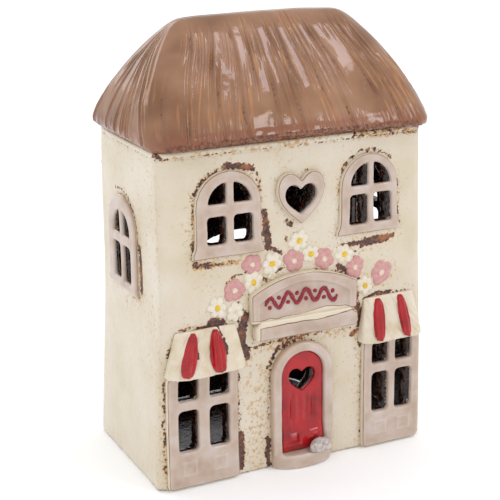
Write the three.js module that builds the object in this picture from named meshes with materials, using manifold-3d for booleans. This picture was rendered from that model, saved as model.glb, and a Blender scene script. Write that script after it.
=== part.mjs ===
// A pottery tea light house: a small two-storey shop with a thatched roof, built from slabs of clay.
// Four walls and a floor are luted together, the hollow roof sits on them, and the windows, door, sign,
// awnings and flowers are cut from thinner slabs and pressed on with slip before the glaze firing.
// The panes are cut right through, so that the light shows, and the tea light goes in over the sill of an
// arched opening in the back wall.
// Millimetres. +X runs to the right along the shop front, +Y to the back, +Z up. Z = 0 is the table.

import * as THREE from "three";
import { mergeVertices } from "three/addons/utils/BufferGeometryUtils.js";
import Module from "manifold-3d";

const wasm = await Module();
wasm.setup();

// The clay shell
const slipJoint = 0.3; // the film of slip between two pieces of clay
const wallHeight = 151.5;
const baseWidth = 135.8;
const baseDepth = 73.8;
const wallThickness = 3.8;
const draft = THREE.MathUtils.degToRad(1.2); // every wall leans in by this
const wallCornerRadius = 3;
const footRadius = 1.4; // rounding of the bottom edge
const floorThickness = 6;

// The roof
const roofHeight = 51.6;
const eaveOverhang = { side: 4.9, front: 6.4 }; // beyond the walls' top edge
const eaveRise = 2.8; // from the seat on the walls to the fullest part of the eave
const eaveLip = -1.4; // from the seat to the lip at the eave's corners
const eaveArch = { front: 2.6, side: 1.2 }; // how much higher the lip is in the middle of each face
const ridgeCamber = 1.2;
const ridgeLength = 77;
const ridgeThickness = 5;
const hipBulge = 1.4; // 1 is a flat slope, 2 a quarter ellipse
const slopeBulge = 1.25;
const roofCornerRadius = 12;
const roofShell = 6;
const seatLap = 0.4; // how far the seat reaches past the walls
const strokeCount = 48; // deep comb strokes round the thatch, about 9 mm apart at the eave
const strokeDepth = 1;
const strokeHalfWidth = 1.5;

// The arched opening in the back wall
const openingCentre = 4;
const openingWidth = 78;
const openingSill = 20;
const openingCrown = 93.7;

// The arched windows: two upstairs in front, and one in each side wall. shift is how far the panes stand to the
// right of the middle of their frame
const frameSoftEdge = 0.7;
const frameProud = { front: 2.5, left: 2, right: 1.4 };
const crownUnderEave = 9.3; // from the upstairs frames' crowns to the top of the wall
const upperLeftWindow = {
  x: -33, foot: 104.2, width: 31.5, sill: 33,
  border: 4.8, mullion: 3.6, bar: 5.4, barShare: 0.477, rail: 5.7, headroom: 0.2, shift: 0.8,
};
const upperRightWindow = {
  x: 37.2, foot: 105.6, width: 29.6, sill: 31,
  border: 4, mullion: 3, bar: 4, barShare: 0.497, rail: 4.4, headroom: 0.3, shift: 0.9,
};
for (const size of [upperLeftWindow, upperRightWindow]) size.height = wallHeight - crownUnderEave - size.foot;
const leftSideWindow = {
  x: 5, foot: 82.6, width: 31.5, height: 43.7, sill: 33,
  border: 5.8, mullion: 3, bar: 4.7, barShare: 0.471, rail: 4, headroom: -1, shift: 0,
};
const rightSideWindow = {
  x: 9.9, foot: 85, width: 36, height: 42.5, sill: 37.5,
  border: 4.4, mullion: 3.4, bar: 3.6, barShare: 0.485, rail: 4, headroom: 0.6, shift: 0,
};

// The heart window
const heartThickness = 3;
const heartCentre = 2.2;
const heartUnderEave = 14.1;
const heartWidth = 23.6;
const heartHeight = 23.4;
const heartBorder = 3.9;
const heartFoot = wallHeight - heartUnderEave - heartHeight;

// The two shop windows, with their panes shifted in the same way
const shopWindow = {
  foot: 0.6, height: 53, thickness: 3, upperPane: 10.3, bar: 4.6, lowerPane: 19.8, topRail: 1.5,
  panel: 6.6, panelRise: 6, panelRelief: 0.6,
};
const leftShopWindowAt = { x: -47.1, width: 34.6, border: 4.8, mullion: 5.5, shift: 0.55 };
const rightShopWindowAt = { x: 49.5, width: 30.6, border: 4.6, mullion: 3.5, shift: 0.4 };

// The door
const doorCentre = 2.6;
const doorWidth = 21.2;
const doorTop = 55.1;
const doorThickness = 2.2;
const surroundWidth = 30.6;
const surroundTop = 59.6;
const surroundThickness = 3.8;
const stepHeight = 6.2;
const stepReach = 7.6;
const doorHeart = { width: 13.4, height: 11.2, above: 29 };
const doorGroove = { count: 3, width: 0.8, depth: 0.5, foot: 11, top: 27 };
const doorPanel = { width: 5.4, height: 4.6, above: 4.6, relief: 0.5 };
const lump = { length: 11, width: 6, height: 6, fromDoorCentre: 9.6 };

// The sign over the door
const signCentre = 3.4;
const plaqueWidth = 53;
const plaqueFoot = 72.2;
const plaqueShoulder = 12.8;
const plaqueCrown = 20.2;
const plaqueThickness = 4;
const plaqueRim = 4;
const plaqueRecess = 1.1;
const barCentre = 4.4;
const barWidth = 52;
const barFoot = 63.7;
const barHeight = 7;
const barThickness = 4.5;

// The awnings over the shop windows. lean is how far an awning's top stands to the right of its foot
const awning = { lip: 8, topEdge: 1.6, curve: 0.85 };
const leftAwningAt = { x: -46, height: 19.3, bottomWidth: 38.2, topWidth: 29.7, lean: 0.8 };
const rightAwningAt = { x: 48.2, height: 20.4, bottomWidth: 32, topWidth: 26.3, lean: 0.2 };
const stripe = { height: 1.5, inset: 0.6 };
const awningStripes = {
  left_awning_stripe_1: { at: leftAwningAt, topX: -5.9, bottomX: -11.4, width: 7.2 },
  left_awning_stripe_2: { at: leftAwningAt, topX: 4.8, bottomX: 4.6, width: 7.8 },
  right_awning_stripe_1: { at: rightAwningAt, topX: -6.5, bottomX: -8.6, width: 6.2 },
  right_awning_stripe_2: { at: rightAwningAt, topX: 5.4, bottomX: 6.2, width: 5.4 },
};

// The garland of pressed flowers round the sign. rise is a flower's share of the room between the sign or the
// awning under it and the window over it
const petalThickness = 1.5;
const centreShare = 0.29; // of the flower's radius
const centreHeight = 0.9;
const crowding = 0.31; // the largest share of that room that a flower's radius takes
const pinkFlowers = [
  { x: -30.4, rise: 0.484, radius: 5.3, turn: 10 },
  { x: -21.3, rise: 0.66, radius: 4.8, turn: 40 },
  { x: -0.8, rise: 0.248, radius: 5.2, turn: 25 },
  { x: 14.6, rise: 0.241, radius: 5.1, turn: 54 },
  { x: 31, rise: 0.508, radius: 5, turn: 5 },
  { x: 44.7, rise: 0.355, radius: 5.8, turn: 30 },
];
const daisies = [
  { x: -39.2, rise: 0.271, radius: 5.2, turn: 0 },
  { x: -20.6, rise: 0.217, radius: 5.4, turn: 20 },
  { x: -11.4, rise: 0.323, radius: 5, turn: 55 },
  { x: 2, rise: 0.658, radius: 4.9, turn: 12 },
  { x: 7.6, rise: 0.376, radius: 4.1, turn: 40 },
  { x: 24.6, rise: 0.543, radius: 4.9, turn: 8 },
  { x: 35.6, rise: 0.201, radius: 4.6, turn: 33 },
];
const plainFlower = { x: -30, rise: 0.168, radius: 4.7, turn: 35 };

// The tea light
const candle = { x: openingCentre, y: -6, radius: 19, height: 15.5, metal: 0.5, waxHeight: 12.6 };
const wick = { radius: 0.7, stand: 6.5 };
const sustainer = { radius: 6.5, metal: 0.4, neckHeight: 3, neckWall: 0.4 };

const cutMargin = 2; // how far a cutter reaches past what it cuts

// Booleans
function solidOf(geometry) {
  const bare = geometry.clone();
  bare.deleteAttribute("normal");
  bare.deleteAttribute("uv");
  const merged = mergeVertices(bare, 1e-4);
  const vertProperties = merged.attributes.position.array;
  const triVerts = new Uint32Array(merged.index.array);
  return new wasm.Manifold(new wasm.Mesh({ numProp: 3, vertProperties, triVerts }));
}

function geometryOf(solid) {
  const mesh = solid.getMesh();
  const geometry = new THREE.BufferGeometry();
  geometry.setAttribute("position", new THREE.BufferAttribute(Float32Array.from(mesh.vertProperties), 3));
  geometry.setIndex(new THREE.BufferAttribute(Uint32Array.from(mesh.triVerts), 1));
  geometry.computeVertexNormals();
  return geometry;
}

function boxSolid(x0, x1, y0, y1, z0, z1) {
  const box = new THREE.BoxGeometry(x1 - x0, y1 - y0, z1 - z0);
  box.translate((x0 + x1) / 2, (y0 + y1) / 2, (z0 + z1) / 2);
  return solidOf(box);
}

// Materials, by glaze
const glaze = (color, roughness, metalness = 0) => new THREE.MeshStandardMaterial({ color, roughness, metalness });
const cream = glaze(0xe6d9bf, 0.4);
const thatch = glaze(0x9c7860, 0.2);
const mauve = glaze(0xc9b9b4, 0.25);
const red = glaze(0xb32a36, 0.2);
const pink = glaze(0xe0a0ac, 0.3);
const white = glaze(0xefe9da, 0.3);
const yellow = glaze(0xebc53a, 0.3);
const mottled = glaze(0xcfc7bf, 0.4);
const foil = glaze(0xc8cacc, 0.3, 1);
const tin = glaze(0x9a9b9d, 0.4, 1);
const wax = glaze(0xf4f1e6, 0.5);
const cotton = glaze(0xe9e4d6, 0.9);

const house = new THREE.Group();
const farReach = baseWidth + baseDepth;

function addPiece(parent, name, geometry, material, x = 0, y = 0, z = 0) {
  const piece = new THREE.Mesh(geometry, material);
  piece.name = name;
  piece.position.set(x, y, z);
  parent.add(piece);
  return piece;
}

// Closed shapes from rings and grids of points
function wallHalf(base, z) {
  return base / 2 - z * Math.tan(draft);
}

function roundedRing(halfX, halfY, radius, z, cornerSteps, sideSteps = 1) {
  const r = Math.min(radius, halfX - 0.01, halfY - 0.01);
  const ring = [];
  const corners = [[1, -1, -90], [1, 1, 0], [-1, 1, 90], [-1, -1, 180]];
  corners.forEach(([sx, sy, start], c) => {
    for (let i = 0; i <= cornerSteps; i++) {
      const a = THREE.MathUtils.degToRad(start + (90 * i) / cornerSteps);
      ring.push([sx * (halfX - r) + r * Math.cos(a), sy * (halfY - r) + r * Math.sin(a), z]);
    }
    const [nx, ny, next] = corners[(c + 1) % 4];
    const a = THREE.MathUtils.degToRad(next);
    const end = [nx * (halfX - r) + r * Math.cos(a), ny * (halfY - r) + r * Math.sin(a)];
    const from = ring[ring.length - 1];
    for (let i = 1; i < sideSteps; i++) {
      const t = i / sideSteps;
      ring.push([from[0] + (end[0] - from[0]) * t, from[1] + (end[1] - from[1]) * t, z]);
    }
  });
  return ring;
}

// A closed body through rings of equal length, listed upwards, each running anticlockwise seen from above
function stackRings(rings) {
  const count = rings[0].length;
  const points = rings.flat();
  const faces = [];
  for (let k = 0; k + 1 < rings.length; k++) {
    for (let i = 0; i < count; i++) {
      const a = k * count + i;
      const b = k * count + ((i + 1) % count);
      faces.push(a, b, b + count, a, b + count, a + count);
    }
  }
  const middle = (ring) => ring.reduce((sum, p) => sum.map((v, i) => v + p[i] / ring.length), [0, 0, 0]);
  points.push(middle(rings[0]), middle(rings[rings.length - 1]));
  const foot = points.length - 2;
  const top = points.length - 1;
  const last = (rings.length - 1) * count;
  for (let i = 0; i < count; i++) {
    faces.push(foot, (i + 1) % count, i);
    faces.push(top, last + i, last + ((i + 1) % count));
  }
  const geometry = new THREE.BufferGeometry();
  geometry.setAttribute("position", new THREE.BufferAttribute(new Float32Array(points.flat()), 3));
  geometry.setIndex(faces);
  geometry.computeVertexNormals();
  return geometry;
}

// A closed relief between two sheets over the same grid: place(u, v) gives x and y, front and back give z
function reliefPatch(columns, rows, place, front, back) {
  const points = [];
  for (const sheet of [front, back]) {
    for (let j = 0; j <= rows; j++) {
      for (let i = 0; i <= columns; i++) {
        const u = (2 * i) / columns - 1;
        const v = j / rows;
        const [x, y] = place(u, v);
        points.push(x, y, sheet(u, v, x, y));
      }
    }
  }
  const wide = columns + 1;
  const behind = wide * (rows + 1);
  const faces = [];
  const quad = (a, b, c, d) => faces.push(a, b, c, a, c, d);
  for (let j = 0; j < rows; j++) {
    for (let i = 0; i < columns; i++) {
      const a = j * wide + i;
      quad(a, a + 1, a + 1 + wide, a + wide);
      quad(behind + a, behind + a + wide, behind + a + wide + 1, behind + a + 1);
    }
  }
  for (let i = 0; i < columns; i++) {
    const top = rows * wide + i;
    quad(i, behind + i, behind + i + 1, i + 1);
    quad(top, top + 1, behind + top + 1, behind + top);
  }
  for (let j = 0; j < rows; j++) {
    const left = j * wide;
    const right = left + columns;
    quad(left, left + wide, behind + left + wide, behind + left);
    quad(right, behind + right, behind + right + wide, right + wide);
  }
  const geometry = new THREE.BufferGeometry();
  geometry.setAttribute("position", new THREE.BufferAttribute(new Float32Array(points), 3));
  geometry.setIndex(faces);
  geometry.computeVertexNormals();
  return geometry;
}

// The four sides of the house. Inside a side's group, x runs along the wall, y up it and z out of it
function side(turn, base) {
  const turned = new THREE.Group();
  turned.rotation.z = turn;
  const leaning = new THREE.Group();
  leaning.position.y = -base / 2;
  leaning.rotation.x = Math.PI / 2 - draft;
  turned.add(leaning);
  house.add(turned);
  turned.updateMatrixWorld(true);
  return leaning;
}

const front = side(0, baseDepth);
const left = side(-Math.PI / 2, baseWidth);
const right = side(Math.PI / 2, baseWidth);
const back = side(Math.PI, baseDepth);

// Outlines, each with its foot centred on 0, 0
function archOutline(width, height, foot = width, footHeight = 0) {
  const outline = new THREE.Shape();
  outline.moveTo(-foot / 2, 0);
  outline.lineTo(foot / 2, 0);
  if (footHeight > 0) {
    outline.lineTo(foot / 2, footHeight);
    outline.lineTo(width / 2, footHeight + (foot - width) / 2);
  }
  outline.absarc(0, height - width / 2, width / 2, 0, Math.PI, false);
  if (footHeight > 0) {
    outline.lineTo(-width / 2, footHeight + (foot - width) / 2);
    outline.lineTo(-foot / 2, footHeight);
  }
  outline.closePath();
  return outline;
}

function roundedRectangle(x, y, width, height, radius, steps = 2) {
  const r = Math.min(radius, width * 0.45, height * 0.45);
  const points = [];
  [[width - r, r], [width - r, height - r], [r, height - r], [r, r]].forEach(([cx, cy], corner) => {
    for (let k = 0; k <= steps; k++) {
      const a = (Math.PI / 2) * (corner - 1 + k / steps);
      points.push(new THREE.Vector2(x + cx + r * Math.cos(a), y + cy + r * Math.sin(a)));
    }
  });
  return new THREE.Shape(points);
}

function heartOutline(width, height) {
  const w = width / 2;
  const outline = new THREE.Shape();
  outline.moveTo(0, 0);
  outline.bezierCurveTo(w * 0.45, height * 0.2, w, height * 0.4, w, height * 0.7);
  outline.bezierCurveTo(w, height * 1.06, w * 0.3, height * 1.12, 0, height * 0.84);
  outline.bezierCurveTo(-w * 0.3, height * 1.12, -w, height * 1.06, -w, height * 0.7);
  outline.bezierCurveTo(-w, height * 0.4, -w * 0.45, height * 0.2, 0, 0);
  return outline;
}

// A shape moved to x, y, as points
function movedShape(path, x, y, segments) {
  const points = path.getPoints(segments).map((p) => new THREE.Vector2(p.x + x, p.y + y));
  return new THREE.Shape(points);
}

function extruded(outline, x, y, z, depth) {
  const body = new THREE.ExtrudeGeometry(outline, { depth, bevelEnabled: false, curveSegments: 8 });
  body.translate(x, y, z);
  return solidOf(body);
}

function bevelled(outline, depth, bevel, bevelOffset, z, curveSegments) {
  const body = new THREE.ExtrudeGeometry(outline, {
    depth, bevelThickness: bevel, bevelSize: bevel, bevelOffset, bevelSegments: 1, curveSegments,
  });
  body.translate(0, 0, z);
  return solidOf(body);
}

// A slab cut to an outline: its back is flat on z = 0, and its front edges and the edges of its holes are
// wiped round
function slabOf(outline, thickness, softEdge, curveSegments = 6, holes = []) {
  const behind = boxSolid(-farReach, farReach, -farReach, farReach, -cutMargin - softEdge, 0);
  const slab = bevelled(outline, thickness, softEdge, -softEdge, -softEdge, curveSegments).subtract(behind);
  return holes.reduce((rest, hole) => rest
    .subtract(extruded(hole, 0, 0, -1, thickness + cutMargin))
    .subtract(bevelled(hole, 1, softEdge, 0, thickness, 4)), slab);
}

// What the knife takes out of a wall where a pane is cut
function paneCutter(outline, x, y) {
  const cutter = new THREE.ExtrudeGeometry(outline, {
    depth: wallThickness + 2 * cutMargin,
    bevelEnabled: false,
    curveSegments: 8,
  });
  cutter.translate(x, y, -wallThickness - cutMargin);
  return solidOf(cutter);
}

// The panes and the frame of an arched window
function archedWindow(size) {
  const clear = size.width / 2 - size.border;
  const springing = size.height - size.width / 2;
  const inner = size.mullion / 2;
  const barFootHeight = size.height * size.barShare;
  const barTop = barFootHeight + size.bar;
  const lowerHeight = barFootHeight - size.rail;
  const frame = archOutline(size.width, size.height, size.sill, size.rail * 0.6);
  const reach = clear - 0.4;
  const centre = springing + size.headroom;
  const startAngle = Math.asin(THREE.MathUtils.clamp((barTop - centre) / reach, 0, 1));
  const endAngle = Math.acos(inner / reach);
  const panes = [-1, 1].flatMap((sign) => {
    const lower = roundedRectangle(sign < 0 ? -clear : inner, size.rail, clear - inner, lowerHeight, 1.4);
    const upper = [new THREE.Vector2(inner, barTop)];
    if (barTop < centre) upper.push(new THREE.Vector2(reach, barTop));
    for (let k = 0; k <= 6; k++) {
      const a = THREE.MathUtils.lerp(startAngle, endAngle, k / 6);
      upper.push(new THREE.Vector2(reach * Math.cos(a), centre + reach * Math.sin(a)));
    }
    const mirrored = upper.map((p) => new THREE.Vector2(-p.x, p.y)).reverse();
    return [lower, new THREE.Shape(sign > 0 ? upper : mirrored)].map((pane) => movedShape(pane, size.shift, 0, 8));
  });
  return { frame, panes };
}

function addWindow(face, name, size, x, thickness) {
  const { frame, panes } = archedWindow(size);
  const slab = slabOf(frame, thickness, frameSoftEdge, 6, panes);
  addPiece(face, name, geometryOf(slab), mauve, x, size.foot, slipJoint);
  return panes.map((pane) => paneCutter(movedShape(pane, 0, 0, 8), x, size.foot));
}

const frontCuts = [];
const leftCuts = [];
const rightCuts = [];

frontCuts.push(...addWindow(front, "upper_left_window", upperLeftWindow, upperLeftWindow.x, frameProud.front));
frontCuts.push(...addWindow(front, "upper_right_window", upperRightWindow, upperRightWindow.x, frameProud.front));
leftCuts.push(...addWindow(left, "left_side_window", leftSideWindow, -leftSideWindow.x, frameProud.left));
rightCuts.push(...addWindow(right, "right_side_window", rightSideWindow, rightSideWindow.x, frameProud.right));

// The heart window, with its border of even width
const heartShare = (heartWidth - 2 * heartBorder) / heartWidth;
const heartHoleHeight = heartHeight * heartShare * 0.84;
const heartHole = movedShape(
  heartOutline(heartWidth * heartShare, heartHoleHeight), 0, heartBorder * 1.2, 8,
);
const heartSlab = slabOf(heartOutline(heartWidth, heartHeight), heartThickness, frameSoftEdge, 8, [heartHole]);
addPiece(front, "heart_window", geometryOf(heartSlab), mauve, heartCentre, heartFoot, slipJoint);
frontCuts.push(paneCutter(heartHole, heartCentre, heartFoot));

// A shop window: two small panes over two tall ones, and two raised panels at the foot
function addShopWindow(name, at) {
  const clear = at.width / 2 - at.border;
  const inner = at.mullion / 2;
  const upperFoot = shopWindow.height - shopWindow.topRail - shopWindow.upperPane;
  const lowerFoot = upperFoot - shopWindow.bar - shopWindow.lowerPane;
  const frame = roundedRectangle(-at.width / 2, 0, at.width, shopWindow.height, 1.5, 4);
  const panes = [at.shift - clear, at.shift + inner].flatMap((x) => [
    roundedRectangle(x, upperFoot, clear - inner, shopWindow.upperPane, 1.2),
    roundedRectangle(x, lowerFoot, clear - inner, shopWindow.lowerPane, 1.8),
  ]);
  let plate = slabOf(frame, shopWindow.thickness, frameSoftEdge, 4, panes);
  for (const middle of [at.shift - (clear + inner) / 2, at.shift + (clear + inner) / 2]) {
    const half = shopWindow.panel / 2;
    plate = plate.add(boxSolid(
      middle - half, middle + half, shopWindow.panelRise, shopWindow.panelRise + shopWindow.panel,
      shopWindow.thickness / 2, shopWindow.thickness + shopWindow.panelRelief,
    ));
  }
  addPiece(front, name, geometryOf(plate), mauve, at.x, shopWindow.foot, slipJoint);
  frontCuts.push(...panes.map((pane) => paneCutter(movedShape(pane, 0, 0, 4), at.x, shopWindow.foot)));
}

addShopWindow("left_shop_window", leftShopWindowAt);
addShopWindow("right_shop_window", rightShopWindowAt);

// The door: a step, an arched surround that stands on it, and the boarded leaf inside that
const stepTop = stepHeight + slipJoint;
const doorClear = movedShape(
  archOutline(doorWidth + 2 * slipJoint, doorTop + slipJoint - stepTop + cutMargin), 0, -cutMargin, 8,
);
const surroundHoop = slabOf(
  archOutline(surroundWidth, surroundTop - stepTop), surroundThickness, frameSoftEdge, 12, [doorClear],
);
addPiece(front, "door_surround", geometryOf(surroundHoop), mauve, doorCentre, stepTop, slipJoint);

const leafHeight = doorTop - stepTop;
const doorHeartHole = movedShape(heartOutline(doorHeart.width, doorHeart.height), 0, doorHeart.above, 8);
let leaf = slabOf(archOutline(doorWidth, leafHeight), doorThickness, 0.4, 12, [doorHeartHole]);
const board = doorWidth / (doorGroove.count + 1);
for (let i = 1; i <= doorGroove.count; i++) {
  const x = -doorWidth / 2 + i * board;
  leaf = leaf.subtract(boxSolid(
    x - doorGroove.width / 2, x + doorGroove.width / 2, doorGroove.foot, doorGroove.top,
    doorThickness - doorGroove.depth, doorThickness + 1,
  ));
}
for (const middle of [-doorWidth / 4, doorWidth / 4]) {
  leaf = leaf.add(boxSolid(
    middle - doorPanel.width / 2, middle + doorPanel.width / 2, doorPanel.above, doorPanel.above + doorPanel.height,
    doorThickness / 2, doorThickness + doorPanel.relief,
  ));
}
addPiece(front, "door_leaf", geometryOf(leaf), red, doorCentre, stepTop, slipJoint);
frontCuts.push(paneCutter(doorHeartHole, doorCentre, stepTop));

const stepPlan = new THREE.Shape();
stepPlan.absellipse(0, 0, surroundWidth / 2, stepReach, Math.PI, 2 * Math.PI, false);
stepPlan.closePath();
const stepBlock = new THREE.ExtrudeGeometry(stepPlan, { depth: stepHeight, bevelEnabled: false, curveSegments: 16 });
stepBlock.rotateX(-Math.PI / 2);
addPiece(front, "doorstep", stepBlock, mauve, doorCentre, 0, slipJoint);

// A small mottled lump of clay that lies on the step beside the door
const lumpBall = new THREE.SphereGeometry(0.5, 14, 10);
lumpBall.scale(lump.length, lump.height * 1.5, lump.width);
const lumpSolid = solidOf(lumpBall).subtract(
  boxSolid(-lump.length, lump.length, -lump.height * 2, -lump.height * 0.25, -lump.width, lump.width),
);
addPiece(
  front, "doorstep_lump", geometryOf(lumpSolid), mottled,
  doorCentre + lump.fromDoorCentre - lump.length / 4, stepTop + lump.height * 0.25 + slipJoint,
  slipJoint + surroundThickness + slipJoint + lump.width / 2 - 0.4,
);

// The sign: an arched plaque with a raised rim, over a plain bar
function plaqueOutline(inset) {
  const half = plaqueWidth / 2 - inset;
  const foot = inset > 0 ? -cutMargin : 0;
  const outline = new THREE.Shape();
  outline.moveTo(-half, foot);
  outline.lineTo(half, foot);
  outline.lineTo(half, plaqueShoulder - inset);
  outline.quadraticCurveTo(half * 0.5, plaqueCrown - inset, 0, plaqueCrown - inset);
  outline.quadraticCurveTo(-half * 0.5, plaqueCrown - inset, -half, plaqueShoulder - inset);
  outline.closePath();
  return outline;
}

const recess = new THREE.ExtrudeGeometry(plaqueOutline(plaqueRim), {
  depth: plaqueThickness, bevelEnabled: false, curveSegments: 8,
});
recess.translate(0, 0, plaqueThickness - plaqueRecess);
const plaque = slabOf(plaqueOutline(0), plaqueThickness, frameSoftEdge).subtract(solidOf(recess));
addPiece(front, "sign_plaque", geometryOf(plaque), mauve, signCentre, plaqueFoot, slipJoint);

const barOutline = roundedRectangle(-barWidth / 2, 0, barWidth, barHeight, 1.6, 4);
addPiece(
  front, "sign_bar", geometryOf(slabOf(barOutline, barThickness, 1)), mauve, barCentre, barFoot, slipJoint,
);

// The awnings: solid wedges of clay, full at the lip, with red rolls pressed along them
const awningFoot = shopWindow.foot + shopWindow.height + slipJoint;

function awningOut(at, x, y) {
  const up = THREE.MathUtils.clamp(y / at.height, 0, 1);
  const half = THREE.MathUtils.lerp(at.bottomWidth, at.topWidth, up) / 2;
  const across = Math.min(1, Math.abs(x - at.lean * up) / half);
  const full = awning.topEdge + (awning.lip - awning.topEdge) * (1 - up) ** awning.curve;
  return full * (1 - 0.35 * across ** 6);
}

function addAwning(name, at) {
  const place = (u, v) => [
    at.lean * v + (u * THREE.MathUtils.lerp(at.bottomWidth, at.topWidth, v)) / 2,
    v * at.height,
  ];
  const wedge = reliefPatch(16, 8, place, (u, v, x, y) => awningOut(at, x, y), () => 0);
  addPiece(front, name, wedge, cream, at.x, awningFoot, slipJoint);
}

addAwning("left_awning", leftAwningAt);
addAwning("right_awning", rightAwningAt);

const rollRows = 8;
for (const [name, { at, topX, bottomX, width }] of Object.entries(awningStripes)) {
  const run = at.height - 2 * stripe.inset;
  const place = (u, v) => [
    THREE.MathUtils.lerp(bottomX, topX, v) + (u * width * (0.55 + 0.45 * Math.sin(Math.PI * v))) / 2,
    stripe.inset + v * run,
  ];
  const seat = (u, v, x, y) => awningOut(at, x, y) + slipJoint;
  const roll = (u, v, x, y) => seat(u, v, x, y) + stripe.height * (0.15 + 0.85 * Math.sqrt(1 - 0.95 * u * u));
  addPiece(front, name, reliefPatch(4, rollRows, place, roll, seat), red, at.x, awningFoot, slipJoint);
}

// The garland. A flower that overlaps one pressed on before it gives way to it
function petalOutline(radius, turn, grow = 0) {
  const petals = 5;
  const steps = 30;
  const points = [];
  for (let i = 0; i < steps; i++) {
    const a = (2 * Math.PI * i) / steps;
    const lobe = Math.abs(Math.cos((petals * a) / 2));
    const reach = radius * (0.66 + 0.34 * lobe ** 0.8) + grow;
    const at = a + THREE.MathUtils.degToRad(turn);
    points.push(new THREE.Vector2(reach * Math.cos(at), reach * Math.sin(at)));
  }
  return new THREE.Shape(points);
}

const clearDepth = 4 * plaqueThickness;
const plaqueClear = extruded(
  roundedRectangle(
    -plaqueWidth / 2 - slipJoint, -cutMargin, plaqueWidth + 2 * slipJoint, plaqueShoulder + cutMargin, 0.1, 1,
  ),
  signCentre, plaqueFoot, -1, clearDepth,
).add(extruded(plaqueOutline(0), signCentre, plaqueFoot + slipJoint, -1, clearDepth));
const awningClear = [leftAwningAt, rightAwningAt].map((at) => boxSolid(
  at.x + at.lean - at.topWidth / 2 - slipJoint - 1, at.x + at.lean + at.topWidth / 2 + slipJoint + 1,
  awningFoot, awningFoot + at.height + slipJoint, -1, clearDepth,
));
const windowClear = [upperLeftWindow, upperRightWindow].map((size) => boxSolid(
  size.x - size.sill / 2 - slipJoint, size.x + size.sill / 2 + slipJoint,
  size.foot - slipJoint, size.foot + size.height, -1, clearDepth,
));
const heartClear = boxSolid(
  heartCentre - heartWidth / 2, heartCentre + heartWidth / 2,
  heartFoot - slipJoint, heartFoot + heartHeight, -1, clearDepth,
);
let taken = [...awningClear, ...windowClear, heartClear].reduce((all, one) => all.add(one), plaqueClear);

function pressedAt({ x, rise, radius }) {
  const across = Math.abs(x - signCentre) / (plaqueWidth / 2);
  const plaqueTop = plaqueFoot + plaqueCrown - (plaqueCrown - plaqueShoulder) * across ** 2;
  const underAwning = x < signCentre ? leftAwningAt : rightAwningAt;
  const under = across < 1 ? plaqueTop : awningFoot + underAwning.height;
  const underHeart = Math.abs(x - heartCentre) < heartWidth * 0.6;
  const window = x < signCentre ? upperLeftWindow : upperRightWindow;
  const room = (underHeart ? heartFoot : window.foot) - under;
  return { height: under + rise * room, radius: Math.min(radius, crowding * room) };
}

function pressFlower(name, flower, material, hasCentre) {
  const { x, turn } = flower;
  const { height, radius } = pressedAt(flower);
  const petals = slabOf(petalOutline(radius, turn), petalThickness, 0.4).translate([x, height, 0]);
  const trimmed = petals.subtract(taken);
  addPiece(front, name, geometryOf(trimmed), material, 0, 0, slipJoint);
  taken = taken.add(extruded(petalOutline(radius, turn, slipJoint), x, height, -1, clearDepth));
  if (!hasCentre) return;
  const dome = new THREE.SphereGeometry(centreShare * radius, 12, 8);
  dome.scale(1, 1, centreHeight / (centreShare * radius));
  const bead = solidOf(dome).subtract(boxSolid(-2, 2, -2, 2, -2, 0));
  const centreName = name.replace("daisy", "daisy_centre");
  addPiece(front, centreName, geometryOf(bead), yellow, x, height, petalThickness + 2 * slipJoint);
}

pinkFlowers.forEach((flower, i) => pressFlower(`pink_flower_${i + 1}`, flower, pink, false));
daisies.forEach((flower, i) => pressFlower(`daisy_${i + 1}`, flower, white, true));
pressFlower("plain_flower", plainFlower, white, false);

// The walls, cut from one tapered block so that their corners meet
const wallRing = (z, inset) => roundedRing(
  wallHalf(baseWidth, z) - inset, wallHalf(baseDepth, z) - inset, wallCornerRadius, z, 4,
);
const footRings = [0, 30, 60, 90].map((degrees) => {
  const a = THREE.MathUtils.degToRad(degrees);
  return wallRing(footRadius * (1 - Math.cos(a)), footRadius * (1 - Math.sin(a)));
});
const block = solidOf(stackRings([...footRings, wallRing(wallHeight, 0)]));

function slabRegion(face, thickness) {
  const region = new THREE.BoxGeometry(2 * farReach, 2 * farReach, thickness + farReach);
  region.translate(0, 0, (farReach - thickness) / 2);
  region.applyMatrix4(face.matrixWorld);
  return solidOf(region);
}

function cutAll(solid, face, cutters) {
  const matrix = face.matrixWorld.toArray();
  return cutters.reduce((rest, cutter) => rest.subtract(cutter.transform(matrix)), solid);
}

const reserved = [front, back].map((face) => slabRegion(face, wallThickness + slipJoint));
const sideSlab = (face) => reserved.reduce(
  (rest, region) => rest.subtract(region), block.intersect(slabRegion(face, wallThickness)),
);

const frontWall = cutAll(block.intersect(slabRegion(front, wallThickness)), front, frontCuts);
addPiece(house, "front_wall", geometryOf(frontWall), cream);
addPiece(house, "left_wall", geometryOf(cutAll(sideSlab(left), left, leftCuts)), cream);
addPiece(house, "right_wall", geometryOf(cutAll(sideSlab(right), right, rightCuts)), cream);

const opening = archOutline(openingWidth, openingCrown - openingSill);
const openingCut = new THREE.ExtrudeGeometry(opening, {
  depth: wallThickness + 2 * cutMargin, bevelEnabled: false, curveSegments: 28,
});
openingCut.translate(-openingCentre, openingSill, -wallThickness - cutMargin);
const backWall = cutAll(block.intersect(slabRegion(back, wallThickness)), back, [solidOf(openingCut)]);
addPiece(house, "back_wall", geometryOf(backWall), cream);

// The floor lies between the walls
const floorInset = wallThickness / Math.cos(draft) + slipJoint;
const floorRing = (z) => roundedRing(
  wallHalf(baseWidth, z) - floorInset, wallHalf(baseDepth, z) - floorInset, 1, z, 2,
);
addPiece(house, "floor_slab", stackRings([floorRing(0), floorRing(floorThickness)]), cream);

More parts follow.
